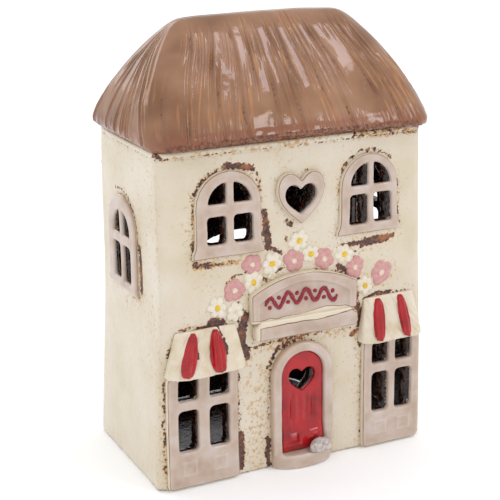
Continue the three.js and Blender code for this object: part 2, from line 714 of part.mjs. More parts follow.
// The roof: a hollow hipped thatch, full at the eave, with the strokes of the reeds combed into it
const roofSeat = wallHeight + slipJoint;
const seatHalfX = wallHalf(baseWidth, wallHeight);
const seatHalfY = wallHalf(baseDepth, wallHeight);
const eaveZ = roofSeat + eaveRise;
const ridgeZ = roofSeat + roofHeight;

function roofHalves(up) {
  const hip = (1 - up ** hipBulge) ** (1 / hipBulge);
  const slope = (1 - up ** slopeBulge) ** (1 / slopeBulge);
  return [
    THREE.MathUtils.lerp(ridgeLength / 2, seatHalfX + eaveOverhang.side, hip),
    THREE.MathUtils.lerp(ridgeThickness / 2, seatHalfY + eaveOverhang.front, slope),
  ];
}

// The place that a share of the way round the eave reaches on a ring of this size, and the way out from there.
// The way runs along the front from its left end, then anticlockwise seen from above.
const [eaveHalfX, eaveHalfY] = roofHalves(0);
const wayRound = [0, 1, 2, 3].flatMap((side) => [
  { length: 2 * ((side % 2 ? eaveHalfY : eaveHalfX) - roofCornerRadius), angle: (side - 1) * 90, turn: 0 },
  { length: (Math.PI / 2) * roofCornerRadius, angle: (side - 1) * 90, turn: 90 },
]);
const eaveLength = wayRound.reduce((sum, part) => sum + part.length, 0);

function roundRoof(share, halfX, halfY, radius) {
  let rest = (((share % 1) + 1) % 1) * eaveLength;
  const part = wayRound.find(({ length }) => {
    const here = rest <= length;
    rest -= here ? 0 : length;
    return here;
  });
  const along = rest / part.length;
  const start = THREE.MathUtils.degToRad(part.angle);
  const out = start + THREE.MathUtils.degToRad(part.turn * along);
  const ends = [-1, 1].map((end) => [
    (Math.cos(start) - end * Math.sin(start)) * (halfX - radius),
    (Math.sin(start) + end * Math.cos(start)) * (halfY - radius),
  ]);
  const t = part.turn ? 1 : along;
  return {
    x: THREE.MathUtils.lerp(ends[0][0], ends[1][0], t) + radius * Math.cos(out),
    y: THREE.MathUtils.lerp(ends[0][1], ends[1][1], t) + radius * Math.sin(out),
    outX: Math.cos(out),
    outY: Math.sin(out),
  };
}

// Every third stroke starts part of the way up, every third stops short of the ridge, and they lean a little
const strokes = Array.from({ length: strokeCount }, (_, k) => ({
  at: (k + 0.5 + 0.22 * Math.sin(2.4 * k)) / strokeCount,
  lean: (-3 + 2.5 * Math.sin(1.7 * k)) / eaveLength,
  foot: k % 3 === 1 ? 0.28 : -0.2,
  top: k % 3 === 2 ? 0.66 : 0.98,
  depth: strokeDepth * (0.85 + 0.15 * Math.sin(3.1 * k)),
}));

function roofRing(halfX, halfY, z, up, relief, arch, camber = 0, corner = roofCornerRadius) {
  const radius = Math.min(corner, halfY * 0.8);
  const halfWidth = strokeHalfWidth / eaveLength;
  const places = strokes.flatMap(({ at, lean, foot, top, depth }, k) => {
    const middle = at + lean * up;
    const next = strokes[(k + 1) % strokeCount];
    const following = next.at + (k + 1 === strokeCount ? 1 : 0) + next.lean * up;
    const drawn = THREE.MathUtils.clamp((up - foot) / 0.12, 0, 1) * THREE.MathUtils.clamp((top - up) / 0.12, 0, 1);
    return [[middle - halfWidth, 0], [middle, depth * drawn], [middle + halfWidth, 0], [(middle + following) / 2, 0]];
  });
  return places.map(([share, depth]) => {
    const { x, y, outX, outY } = roundRoof(share, halfX, halfY, radius);
    const narrowed = THREE.MathUtils.lerp(1, Math.min(1, (1.6 * halfY) / eaveHalfY), Math.abs(outX));
    const sink = depth * relief * narrowed;
    const midFront = 1 - (x / halfX) ** 2;
    const midSide = 1 - (y / halfY) ** 2;
    const level = arch * (eaveArch.front * midFront + eaveArch.side * midSide) + camber * midFront;
    return [x - outX * sink, y - outY * sink, z + level];
  });
}

const slopeSteps = 11;
const roofRings = [
  roofRing(seatHalfX + seatLap, seatHalfY + seatLap, roofSeat, 0, 0, 0, 0, wallCornerRadius + seatLap),
  roofRing(
    seatHalfX + eaveOverhang.side * 0.8, seatHalfY + eaveOverhang.front * 0.8, roofSeat + eaveLip, 0, 0.4, 1,
  ),
  roofRing(...roofHalves(0), eaveZ - 1, 0, 0.9, 0.4),
];
for (let k = 1; k <= slopeSteps; k++) {
  const up = Math.sin((Math.PI / 2) * (k / slopeSteps)) ** 1.15;
  const height = THREE.MathUtils.lerp(eaveZ, ridgeZ - ridgeCamber, up);
  roofRings.push(roofRing(...roofHalves(up), height, up, Math.min(1.2, 8 * (1 - up)), 0, ridgeCamber * up));
}
const thatchBody = solidOf(stackRings(roofRings));

const hollowTop = 0.86;
const hollowRings = [];
const hollowSteps = 6;
for (let k = -1; k <= hollowSteps; k++) {
  const up = Math.max(0, (hollowTop * k) / hollowSteps);
  const [halfX, halfY] = roofHalves(up);
  const z = k < 0 ? roofSeat - cutMargin : THREE.MathUtils.lerp(eaveZ, ridgeZ, up);
  hollowRings.push(roundedRing(
    Math.min(seatHalfX - wallThickness, halfX - roofShell),
    Math.min(seatHalfY - wallThickness, Math.max(1, halfY - roofShell)), 3, z, 3,
  ));
}
addPiece(house, "thatched_roof", geometryOf(thatchBody.subtract(solidOf(stackRings(hollowRings)))), thatch);

// The tea light: a foil cup of wax with a wick held upright by a tin sustainer
const tealight = new THREE.Group();
tealight.position.set(candle.x, candle.y, floorThickness + slipJoint);
house.add(tealight);

function turned(profile, segments) {
  return new THREE.LatheGeometry(profile.map(([r, z]) => new THREE.Vector2(r, z)), segments).rotateX(Math.PI / 2);
}

const cupInner = candle.radius - candle.metal;
addPiece(tealight, "foil_cup", turned([
  [0, 0], [candle.radius - 1, 0], [candle.radius, 1], [candle.radius, candle.height - 0.6],
  [candle.radius + 0.5, candle.height], [candle.radius - 0.1, candle.height], [cupInner, candle.height - 0.7],
  [cupInner, 1.2], [cupInner - 0.9, candle.metal], [0, candle.metal],
], 40), foil);

const sustainerFoot = candle.metal + slipJoint;
const boreRadius = wick.radius + slipJoint;
const neckRadius = boreRadius + sustainer.neckWall;
const neckTop = sustainerFoot + sustainer.metal + sustainer.neckHeight;
addPiece(tealight, "wick_sustainer", turned([
  [boreRadius, sustainerFoot], [sustainer.radius, sustainerFoot],
  [sustainer.radius, sustainerFoot + sustainer.metal], [neckRadius, sustainerFoot + sustainer.metal],
  [neckRadius, neckTop], [boreRadius, neckTop], [boreRadius, sustainerFoot],
], 20), tin);

const waxRadius = cupInner - slipJoint;
addPiece(tealight, "wax", turned([
  [sustainer.radius + slipJoint, sustainerFoot], [waxRadius - 0.9, sustainerFoot], [waxRadius, sustainerFoot + 1],
  [waxRadius, candle.waxHeight + 0.5], [waxRadius - 1.2, candle.waxHeight],
  [boreRadius, candle.waxHeight - 0.4], [boreRadius, neckTop + slipJoint], [neckRadius + slipJoint, neckTop + slipJoint],
  [neckRadius + slipJoint, sustainerFoot + sustainer.metal + slipJoint],
  [sustainer.radius + slipJoint, sustainerFoot + sustainer.metal + slipJoint],
  [sustainer.radius + slipJoint, sustainerFoot],
], 40), wax);

const wickFoot = sustainerFoot + 0.2;
const wickLength = candle.waxHeight - 0.4 + wick.stand - wickFoot;
const wickBody = new THREE.CylinderGeometry(wick.radius * 0.9, wick.radius, wickLength, 10);
wickBody.rotateX(Math.PI / 2);
addPiece(tealight, "wick", wickBody, cotton, 0, 0, wickFoot + wickLength / 2);

export default house;
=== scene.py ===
# A pottery tea light house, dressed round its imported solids: a small shop built from slabs of clay, with a
# combed thatch roof, pierced windows, awnings and a garland of pressed flowers, and a tea light inside.
# Sizes in the making are millimetres; Blender gets metres. +X is right along the shop front, +Y back, +Z up.

import math

import bmesh
import bpy
import numpy as np
from mathutils import Matrix, Vector
from mathutils.bvhtree import BVHTree
from mathutils.kdtree import KDTree


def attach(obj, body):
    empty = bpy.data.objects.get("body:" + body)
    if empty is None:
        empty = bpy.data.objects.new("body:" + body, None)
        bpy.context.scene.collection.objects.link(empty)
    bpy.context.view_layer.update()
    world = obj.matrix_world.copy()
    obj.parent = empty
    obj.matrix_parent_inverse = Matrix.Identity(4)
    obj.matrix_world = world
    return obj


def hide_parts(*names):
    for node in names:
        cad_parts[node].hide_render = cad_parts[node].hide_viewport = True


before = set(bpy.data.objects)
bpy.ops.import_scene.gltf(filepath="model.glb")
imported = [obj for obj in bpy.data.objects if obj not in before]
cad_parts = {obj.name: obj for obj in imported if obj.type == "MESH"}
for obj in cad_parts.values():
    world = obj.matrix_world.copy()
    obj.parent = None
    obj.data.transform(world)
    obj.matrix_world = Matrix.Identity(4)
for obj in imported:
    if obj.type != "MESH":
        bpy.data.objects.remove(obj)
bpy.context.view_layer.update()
mm = 0.001
random = np.random.default_rng(11)

# Camera
camera_data = bpy.data.cameras.new("camera")
camera_data.lens = 93.86
camera_data.sensor_width = 36
camera_data.clip_start = 0.02
camera = bpy.data.objects.new("camera", camera_data)
camera.location = (-0.25987, -0.51954, 0.27372)
camera.rotation_euler = [math.radians(angle) for angle in (72.6625, 0.2728, -26.2207)]
bpy.context.scene.collection.objects.link(camera)
bpy.context.scene.camera = camera

# The clay shell
draft = math.radians(1.2)
base_width = 135.8
base_depth = 73.8
wall_top = 151.5
# A worn seam runs round under the eave, with a bead of slip over it
seam_height = 149.3
slip_height = 151.0

# The roof
roof_seat = 151.8
eave_height = 154.6
ridge_height = 203.4
ridge_camber = 1.2
ridge_half = 38.5
ridge_half_thickness = 2.5
eave_side = 4.9
eave_front = 6.4
hip_bulge = 1.4
slope_bulge = 1.25
roof_corner = 12
roof_shell = 6
eave_arch_front = 2.6
eave_arch_side = 1.2


# Shapes
def ramp(value, start, span):
    """0 at start and 1 a span further on, or further back where the span is negative; flat beyond both."""
    return np.clip((value - start) / span, 0, 1)


def bell(value, width):
    """1 at 0 and softly down to nothing on either side."""
    return np.exp(-((value / width) ** 2))


def belts(rings, around, closed=False):
    """Quads from each ring of points to the next, and from the last to the first where closed."""
    index = (np.arange((rings + closed) * around) % (rings * around)).reshape(-1, around)
    after = np.roll(index, -1, axis=1)
    return np.stack([index[:-1], after[:-1], after[1:], index[1:]], axis=-1).reshape(-1, 4)


def skin(rings, around, flip=False):
    """Faces over a first point, rings of points and a last point. flip turns them to the other side."""
    last = 1 + (rings - 1) * around
    faces = (belts(rings, around) + 1).tolist()
    for k in range(around):
        following = (k + 1) % around
        faces.append([0, 1 + following, 1 + k])
        faces.append([last + k, last + following, last + around])
    return [[face[0], *face[:0:-1]] for face in faces] if flip else faces


def noise_at(points, size, seed, octaves=1):
    """Smooth random values from -1 to 1; size is the width of a bump in mm."""
    total = np.zeros(len(points))
    strength = 1.0
    weight = 0.0
    for octave in range(octaves):
        scaled = points / size + seed * 7.31 + octave * 3.7
        cell = np.floor(scaled).astype(np.int64)
        part = scaled - cell
        ease = part * part * (3 - 2 * part)
        value = np.zeros(len(points))
        for corner in range(8):
            step = np.array([corner & 1, corner >> 1 & 1, corner >> 2 & 1])
            at = cell + step
            pick = at[:, 0] * 374761393 + at[:, 1] * 668265263 + at[:, 2] * 1442695041 + seed * 97531
            pick = pick & 0xFFFFFFFF
            pick = ((pick ^ (pick >> 13)) * 1274126177) & 0xFFFFFFFF
            pick = pick ^ (pick >> 16)
            share = np.where(step == 1, ease, 1 - ease).prod(axis=1)
            value += ((pick & 0xFFFF) / 32767.5 - 1) * share
        total += strength * value
        weight += strength
        size = size / 2
        strength = strength / 2
    return total / weight


def averaged(values, faces):
    """Each point's mean over its neighbours in a closed mesh."""
    start = faces.ravel()
    end = np.roll(faces, -1, axis=1).ravel()
    count = np.maximum(np.bincount(start, minlength=len(values)), 1)
    columns = [np.bincount(start, weights=column, minlength=len(values)) for column in values[end].T]
    return np.stack(columns, axis=1) / count[:, None]


def normals_of(points, faces):
    """The outward normal at each point of a mesh of quads."""
    corners = points[faces]
    across = np.cross(corners[:, 2] - corners[:, 0], corners[:, 3] - corners[:, 1])
    total = np.zeros((len(points), 3))
    for k in range(3):
        for column in faces.T:
            total[:, k] += np.bincount(column, weights=across[:, k], minlength=len(points))
    return total / np.maximum(np.linalg.norm(total, axis=1, keepdims=True), 1e-9)


def convexity(points, faces, rounds):
    """How far each point stands out from the clay round it, in mm: positive on edges, negative in creases."""
    eased = points
    for _ in range(rounds):
        eased = averaged(eased, faces)
    return ((points - eased) * normals_of(points, faces)).sum(axis=1)


def softened(nodes, voxel, swell, rounds):
    """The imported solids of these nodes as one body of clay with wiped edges."""
    joined = bmesh.new()
    for node in nodes:
        solid = bmesh.new()
        solid.from_mesh(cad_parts[node].data)
        bmesh.ops.remove_doubles(solid, verts=solid.verts, dist=0.00001)
        solid.normal_update()
        outward = [vert.normal.copy() for vert in solid.verts]
        for vert, normal in zip(solid.verts, outward):
            vert.co += normal * swell * mm
        spare = bpy.data.meshes.new("spare")
        solid.to_mesh(spare)
        joined.from_mesh(spare)
        solid.free()
        bpy.data.meshes.remove(spare)
    clay = bpy.data.meshes.new("clay")
    joined.to_mesh(clay)
    joined.free()
    holder = bpy.data.objects.new("clay", clay)
    bpy.context.scene.collection.objects.link(holder)
    remesh = holder.modifiers.new("even", "REMESH")
    remesh.mode = "VOXEL"
    remesh.voxel_size = voxel * mm
    made = holder.evaluated_get(bpy.context.evaluated_depsgraph_get()).to_mesh()
    points = np.empty(len(made.vertices) * 3)
    made.vertices.foreach_get("co", points)
    points = points.reshape(-1, 3) / mm
    corners = np.empty(len(made.loops), dtype=np.int64)
    made.loops.foreach_get("vertex_index", corners)
    faces = corners.reshape(-1, 4)
    bpy.data.objects.remove(holder)
    bpy.data.meshes.remove(clay)
    for _ in range(rounds):
        points = points + 0.7 * (averaged(points, faces) - points)
    return points, faces


def inward(points):
    """Depth in mm behind the nearest outer face of the walls; negative in front of it."""
    half = np.array([base_width, base_depth]) / 2 - points[:, 2:] * math.tan(draft)
    return (half - np.abs(points[:, :2])).min(axis=1)


def handmade(points):
    """The slight ripple and waist of slabs that were joined by hand. The foot stays flat on the table."""
    ripple = np.stack([noise_at(points, 55, seed) for seed in (1, 2, 3)], axis=1) * [0.55, 0.45, 0.35]
    left = ramp(-points[:, 0], 15, 45)
    ripple[:, 0] += 1.3 * left * bell(points[:, 2] - 84, 36)
    return points + ripple * ramp(points[:, 2:], 0, 14)


def on_front(x, height, out):
    """A place on the front wall: along it, up its slope and out from its face."""
    return np.stack([
        np.broadcast_to(x, np.shape(out)),
        -base_depth / 2 + height * math.sin(draft) - out * math.cos(draft),
        height * math.cos(draft) + out * math.sin(draft),
    ], axis=-1)


pressed_on = []


def add_piece(name, points, faces, material, slot, nodes=(), body="house", marks=None):
    mesh = bpy.data.meshes.new(name)
    mesh.from_pydata((points * mm).tolist(), [], faces if isinstance(faces, list) else faces.tolist())
    mesh.polygons.foreach_set("use_smooth", np.ones(len(mesh.polygons), dtype=bool))
    mesh.materials.append(material)
    for mark, values in (marks or {}).items():
        mesh.attributes.new(mark, "FLOAT", "POINT").data.foreach_set("value", values.astype(np.float32))
    piece = bpy.data.objects.new(name, mesh)
    bpy.context.scene.collection.objects.link(piece)
    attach(piece, body)
    if nodes:
        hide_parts(*nodes)


# Materials
def linear(code):
    """An sRGB hex colour as linear light."""
    channels = [int(code[k:k + 2], 16) / 255 for k in (1, 3, 5)]
    return [c / 12.92 if c <= 0.04045 else ((c + 0.055) / 1.055) ** 2.4 for c in channels] + [1]


def started(name, marks, noises):
    """A new material, the function that adds its nodes, the marks that it reads from the piece, and noises
    for patterns of these sizes, each as (width of a spot in mm, detail, roughness)."""
    material = bpy.data.materials.new(name)
    material.use_nodes = True
    tree = material.node_tree
    tree.nodes.clear()

    def node(kind, inputs=(), stops=(), out=0, **settings):
        """Adds a node and gives one of its outputs. inputs is a list in the order of the node's sockets, or
        maps a socket's name or number. Each is a value, a hex colour or another node's output."""
        item = tree.nodes.new("ShaderNode" + kind)
        for setting, value in settings.items():
            setattr(item, setting, value)
        for socket, value in inputs.items() if isinstance(inputs, dict) else enumerate(inputs):
            if isinstance(value, bpy.types.NodeSocket):
                tree.links.new(value, item.inputs[socket])
            else:
                item.inputs[socket].default_value = linear(value) if isinstance(value, str) else value
        for number, (position, code) in enumerate(stops):
            elements = item.color_ramp.elements
            element = elements[number] if number < 2 else elements.new(position)
            element.position = position
            element.color = linear(code)
        return item.outputs[out] if item.outputs else None

    place = node("TexCoord", out="Object")
    read = [node("Attribute", out="Fac", attribute_name=mark) for mark in marks]
    for size, detail, rough in noises:
        scale = 1000 / size
        read.append(node("TexNoise", {"Vector": place, "Scale": scale, "Detail": detail, "Roughness": rough}))
    return material, node, *read


def ended(material, node, colour, layers, relief, **sockets):
    """The finished material. Over its first colour go layers, each as (where, value at which it starts, value
    at which it is full, cover, colour), and relief, each as (height, strength, distance in mm). What is the
    same all over is set on the shader's own sockets."""
    for where, first, full, cover, over in layers:
        mask = node("MapRange", [where, first, full, 0, cover])
        colour = node("Mix", {0: mask, 6: colour, 7: over}, data_type="RGBA", out=2)
    normal = {}
    for height, strength, distance in relief:
        bump = {"Height": height, "Strength": strength, "Distance": distance * mm}
        normal = {"Normal": node("Bump", bump | normal)}
    values = {socket.replace("_", " "): value for socket, value in sockets.items()}
    node("OutputMaterial", [node("BsdfPrincipled", {"Base Color": colour} | values | normal)])
    return material


plus = {"operation": "ADD"}
times = {"operation": "MULTIPLY"}


def cream_glaze():
    """Satin cream glaze over brown clay: speckled, crumbling to bare clay round the pressed pieces, and near
    black inside the walls and in the jambs of the panes."""
    material, node, bare, warm, inside, cloud, speck, crumb, rust_spots, grain = started(
        "cream_earthenware_glaze", ("bare", "warm", "inside"),
        [(22, 5, 0.5), (1.6, 3, 0.6), (1.3, 2, 0.5), (7, 3, 0.5), (4, 3, 0.55)],
    )
    grit = node("MapRange", [crumb, 0.3, 0.7, -0.5, 0.5])
    dust = node("MapRange", [speck, 0.3, 0.7, -0.6, 0.6])
    cream = node("ValToRGB", [cloud], [(0.3, "#cdbfa5"), (0.72, "#d9cfbf"), (0.5, "#d4c8b4")])
    reach = node("MapRange", [bare, 0, 0.3, 0.35])
    gritty = node("Math", [grit, reach], **times)
    bare_where = node("Math", [bare, gritty], **plus)
    clay_mask = node("MapRange", [bare_where, 0.62, 0.7])
    dark_clay = node("ValToRGB", [speck], [(0.36, "#442a26"), (0.68, "#8c5130"), (0.54, "#593a34")])
    rust = node("MapRange", [rust_spots, 0.54, 0.64, 0, 0.75])
    clay = node("Mix", {0: rust, 6: dark_clay, 7: "#a9673a"}, data_type="RGBA", out=2)
    dark_mask = node("MapRange", [node("Math", [inside, gritty], **plus), 0.3, 0.45])
    dark = node("ValToRGB", [speck], [(0.4, "#0e0706"), (0.66, "#54301f"), (0.53, "#23120d")])
    layers = [
        # warm carries warmer glaze and, on the side walls, bands of painted shade
        (node("Math", [warm, dust], **plus), 0.42, 0.9, 0.85, "#b98d54"),
        (bare_where, 0.42, 0.62, 0.85, "#b07f45"), (clay_mask, 0, 1, 1, clay), (dark_mask, 0, 1, 1, dark),
    ]
    matt = node("MapRange", [clay_mask, 0, 1, 0.3, 0.42])
    gloss = node("Mix", {0: dark_mask, 2: matt, 3: 0.12})
    glaze_step = node("Math", [1, clay_mask], operation="SUBTRACT")
    relief = [(glaze_step, 0.7, 0.3), (crumb, 0.3, 0.8), (grain, 0.5, 0.6)]
    return ended(material, node, cream, layers, relief, Roughness=gloss, IOR=1.5)


def thatch_glaze():
    """Tan iron glaze: smooth where it lies thick, caramel where it thins on the lip of a stroke, with dark
    flecks down the strokes and a dark ragged hem at the eave."""
    material, node, groove, lip, rim, cloud, speck, patch = started(
        "tan_iron_glaze", ("groove", "lip", "rim"), [(24, 3, 0.5), (1.5, 3, 0.6), (13, 2, 0.5)],
    )
    tan = node("ValToRGB", [cloud], [(0.32, "#7a5134"), (0.7, "#9e755a"), (0.5, "#8e6447")])
    patchy = node("MapRange", [patch, 0.4, 0.62])
    layers = [
        (node("Math", [lip, patchy], **times), 0, 1, 0.8, "#bb8250"),
        (node("Math", [groove, speck], **times), 0.42, 0.58, 0.8, "#54281b"),
        (rim, 0.02, 0.5, 0.55, "#7c4128"),
        (node("Math", [rim, speck], **plus), 1.42, 1.58, 1, "#5e2e1b"),
    ]
    relief = [(patch, 0.5, 1.2), (speck, 0.1, 0.3)]
    return ended(material, node, tan, layers, relief, Roughness=0.09, IOR=1.52)


def frame_glaze():
    """Mauve-grey glaze that stops short of the wall: cream below it, a brown line where the two meet, ochre
    stains along the border, and brown clay deep in the panes."""
    material, node, flank, border, deep, edge, cloud, speck, stain = started(
        "mauve_grey_glaze", ("flank", "border", "deep", "edge"), [(9, 4, 0.5), (1.6, 3, 0.6), (14, 3, 0.5)],
    )
    face = node("ValToRGB", [cloud], [(0.3, "#af9887"), (0.7, "#c5b5ad"), (0.5, "#bda899")])
    near_line = node("MapRange", [flank, 0.16, 0.42])
    past_line = node("MapRange", [flank, 0.56, 0.84, 1, 0])
    line_band = node("Math", [near_line, past_line], **times)
    layers = [
        # The lighter colour on convex edges is partly the glaze thinning there and partly a painted highlight
        (edge, 0, 1, 0.65, "#dbd0c6"),
        (node("Math", [border, stain], **times), 0.15, 0.6, 0.5, "#bb9a7c"),
        (flank, 0.45, 0.6, 1, "#d8cbb4"),
        (node("Math", [line_band, stain], **times), 0.2, 0.38, 0.9, "#6b452a"),
        (node("Math", [deep, speck], **plus), 1, 1.2, 1, "#3a2219"),
    ]
    relief = [(cloud, 0.5, 0.7), (speck, 0.12, 0.3)]
    return ended(material, node, face, layers, relief, Roughness=0.15, IOR=1.5)


def pooled_glaze(name, pale, body, deep, worn, contact, roughness):
    """A glossy glaze: cloudy in the flat, lighter on convex edges, where it is thin and where a highlight is
    painted, brown where it meets the wall.
    """
    material, node, edge, foot, cloud, speck = started(name, ("edge", "foot"), [(7, 4, 0.5), (1.6, 4, 0.65)])
    flat = node("ValToRGB", [cloud], [(0.3, deep), (0.72, pale), (0.5, body)])
    layers = [
        # Lighter on convex edges: partly thinner glaze, partly a painted highlight
        (node("Math", [edge, speck], **times), 0.25, 0.7, 0.5, worn),
        (node("Math", [foot, speck], **plus), 1, 1.12, 1, contact),
    ]
    relief = [(cloud, 0.5, 0.6), (speck, 0.15, 0.2)]
    return ended(material, node, flat, layers, relief, Roughness=roughness, IOR=1.5)


def petal_glaze(name, pale, deep, dot):
    """A painted petal: thin at its rim, with a dot of slip in the middle."""
    material, node, middle, rim, speck = started(name, ("middle", "rim"), [(1.8, 4, 0.6)])
    petal = node("ValToRGB", [speck], [(0.32, deep), (0.66, pale)])
    layers = [(node("Math", [rim, speck], **times), 0.4, 0.62, 0.6, "#c9a27c"), (middle, 0, 1, 1, dot)]
    return ended(material, node, petal, layers, [(speck, 0.25, 0.3)], Roughness=0.28, IOR=1.5)


def plain(name, pale, deep, size, height, **sockets):
    """A finish of two close colours in spots of this size in mm, with relief of this height in mm."""
    material, node, speck = started(name, (), [(size, 4, 0.5)])
    spots = node("ValToRGB", [speck], [(0.35, deep), (0.65, pale)])
    return ended(material, node, spots, [], [(speck, 0.6, height)], **sockets)


cream = cream_glaze()
thatch = thatch_glaze()
mauve = frame_glaze()
awning_cream = pooled_glaze("cream_awning_glaze", "#dfd6c5", "#d9cdb7", "#cdbd9f", "#e3dbcc", "#4f3129", 0.16)
red = pooled_glaze("cherry_red_glaze", "#b31a22", "#a6151c", "#8b1016", "#c4625a", "#3d100e", 0.1)
pink_petals = petal_glaze("rose_pink_glaze", "#cd9c99", "#bd8480", "#dacdb8")
white_petals = petal_glaze("milk_white_glaze", "#e2dbcd", "#d6cab4", "#d2c4a6")
# Slip that was trailed in dots and lines keeps the gloss of a drop
yellow_dots = plain("yellow_slip", "#e6c436", "#d2a41f", 1.4, 0.1, Roughness=0.2, IOR=1.5)
raspberry = plain("raspberry_slip", "#980f2a", "#78091f", 1.4, 0.15, Roughness=0.16, IOR=1.5)
# Grey and white glaze that crawled apart in the firing
mottled = plain("mottled_grey_glaze", "#cbc1bb", "#9a8f8a", 1.6, 0.4, Roughness=0.22, IOR=1.5)
# Rolled aluminium foil, bright with fine rolling marks, and stamped tin, a little duller
foil = plain("aluminium_foil", "#d9dadb", "#c3c5c7", 0.6, 0.02, Metallic=1.0, Roughness=0.28)
tinplate = plain("stamped_tinplate", "#b4b4b2", "#96969a", 1.0, 0.02, Metallic=1.0, Roughness=0.35)
# Poured paraffin wax: milky, with light passing a little way in
wax = plain("paraffin_wax", "#f6f2e6", "#ece5d3", 6, 0.2, Roughness=0.42, IOR=1.44, Subsurface_Weight=0.25,
            Subsurface_Scale=4 * mm)
# Braided cotton stiff with wax, matt and uneven
cotton = plain("waxed_cotton", "#efe9da", "#cfc3a8", 0.5, 0.2, Roughness=0.8, IOR=1.45)


# Pressed-on pieces that keep the outline of their solids
facing_out = {
    "front": np.array([0, -math.cos(draft), math.sin(draft)]),
    "left": np.array([-math.cos(draft), 0, math.sin(draft)]),
    "right": np.array([math.cos(draft), 0, math.sin(draft)]),
}


def outer_flank(points, faces, normals, out):
    """1 on the flanks round a piece's outline, 0 on its face and inside its panes."""
    shape = BVHTree.FromPolygons(points.tolist(), faces.tolist())
    lift = normals @ out
    flank = ramp(lift, 0.75, -0.35)
    for index in np.flatnonzero(lift < 0.7):
        along = normals[index] - out * lift[index]
        size = np.linalg.norm(along)
        if size < 0.2:
            continue
        along = along / size
        hit = shape.ray_cast(Vector(points[index] + along * 0.6), Vector(along), 40)
        upward = along[2] > 0.6 and points[index, 2] < 20
        if hit[0] is not None or upward:
            flank[index] = 0
    return flank


def scraped(flat, scars):
    """How bare of glaze each place is, from scraped lines of (half width, strength, points)."""
    most = np.zeros(len(flat))
    for half_width, strength, line in scars.values():
        line = np.array(line)
        for start, end in zip(line[:-1], line[1:]):
            along = end - start
            share = np.clip(((flat - start) @ along) / (along @ along), 0, 1)
            gap = np.linalg.norm(flat - (start + share[:, None] * along), axis=1)
            most = np.maximum(most, strength * np.clip(1.5 - gap / half_width, 0, 1))
    return most


def press(node, material, slot, voxel=0.42, rounds=5, swell=0.1, carve=None, halo=1.0, wall="front", luted=(),
          cream_above=None, scars=None, glazed_to=9):
    """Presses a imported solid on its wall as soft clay, with the marks that its glaze needs. glazed_to is how
    far from the wall the mauve glaze stops on a flank, in mm."""
    out = facing_out[wall]
    points, faces = softened([node, *luted], voxel, swell, rounds)
    points = points - out * 0.3
    if carve is not None:
        points = carve(points, faces)
    normals = normals_of(points, faces)
    points = points + normals * (noise_at(points, 7, 5, 2) * 0.13)[:, None]
    marks = {"edge": ramp(convexity(points, faces, 5), 0, 0.3)}
    proud = -inward(points)
    points = handmade(points)
    points[:, 2] = np.maximum(points[:, 2], 0.0)
    if material is mauve:
        flank = outer_flank(points, faces, normals, out)
        border = flank[:, None]
        for _ in range(4):
            border = averaged(border, faces)
        rolled_over = border[:, 0] * 1.5
        for _ in range(24):
            border = averaged(border, faces)
        inner_flank = ramp(normals @ out, 0.8, -0.2) * (flank < 0.1)
        flank = np.clip(np.maximum(flank, rolled_over), 0, 1) * ramp(proud, glazed_to + 0.25, -0.5)
        if cream_above is not None:
            flank = np.maximum(flank, cream_above(points))
        marks["flank"] = flank
        marks["border"] = np.clip(border[:, 0] * 1.7, 0, 1)
        marks["deep"] = ramp(proud, 1.3, -0.7) * inner_flank * (flank < 0.1) * (wall != "left")
    else:
        marks["foot"] = ramp(proud, 0.8, -0.8) * 0.9
        if scars is not None:
            ragged = np.stack([noise_at(points, 2.4, seed, 2) for seed in (81, 82)], axis=1) * 1.1
            marks["foot"] = np.maximum(marks["foot"], scraped(points[:, [0, 2]] + ragged, scars))
    add_piece(node, points, faces, material, slot, [node, *luted], marks=marks)
    pressed_on.append((points, halo))


def pressed_up(points, faces, rise):
    """Lifts the face of a piece on the front wall by rise in mm, and leaves its flanks."""
    facing = np.clip(-normals_of(points, faces)[:, 1], 0, 1)
    return points + facing_out["front"] * (rise * facing)[:, None]


def panelled(middle, apart):
    def carve(points, faces):
        """Two square panels pressed up at the foot of a shop window, each with a sunk middle."""
        rise = np.zeros(len(points))
        for centre in (middle - apart, middle + apart):
            off = np.maximum(np.abs(points[:, 0] - centre), np.abs(points[:, 2] - 10)) - 3.1
            rise += 0.32 * bell(off, 1.1)
        return pressed_up(points, faces, rise)
    return carve


def splayed(middle, foot):
    def carve(points, faces):
        """A window frame that spreads a little towards its sill, as the clay was pressed down."""
        spread = 1.1 * bell(points[:, 2] - foot, 6)
        moved = points.copy()
        moved[:, 0] += spread * np.tanh((points[:, 0] - middle) / 6)
        return moved
    return carve


def under_plaque_glaze(points):
    """The plaque's mauve stops short of its lower edge, along a wandering line."""
    line = np.interp(points[:, 0], [-20, -9, 2, 13, 24, 28], [73.2, 73.0, 73.2, 74.6, 73.8, 72.4])
    line += 0.5 * noise_at(points * [1, 0, 0], 3.5, 71, 2)
    return ramp(points[:, 2], line + 0.45, -0.9)


def over_bar_glaze(points):
    """The bar's mauve starts under a wandering line and away from its left end."""
    line = np.interp(points[:, 0], [-20, -9, 2, 9, 17, 26], [69.9, 70.2, 70.3, 69.9, 70.4, 71.4])
    line += 0.35 * noise_at(points * [1, 0, 0], 3.5, 73, 2)
    return np.maximum(ramp(points[:, 2], line - 0.45, 0.9), ramp(points[:, 0], -19, -1.2))


def wedged(points, faces):
    """The bar with the wedge of cream clay that fills the joint up to the plaque."""
    moved = points.copy()
    moved[:, 2] += 1.9 * ramp(points[:, 2], 69.2, 1.2) * ramp(np.abs(points[:, 0] - 4), 24.6, -2)
    return moved


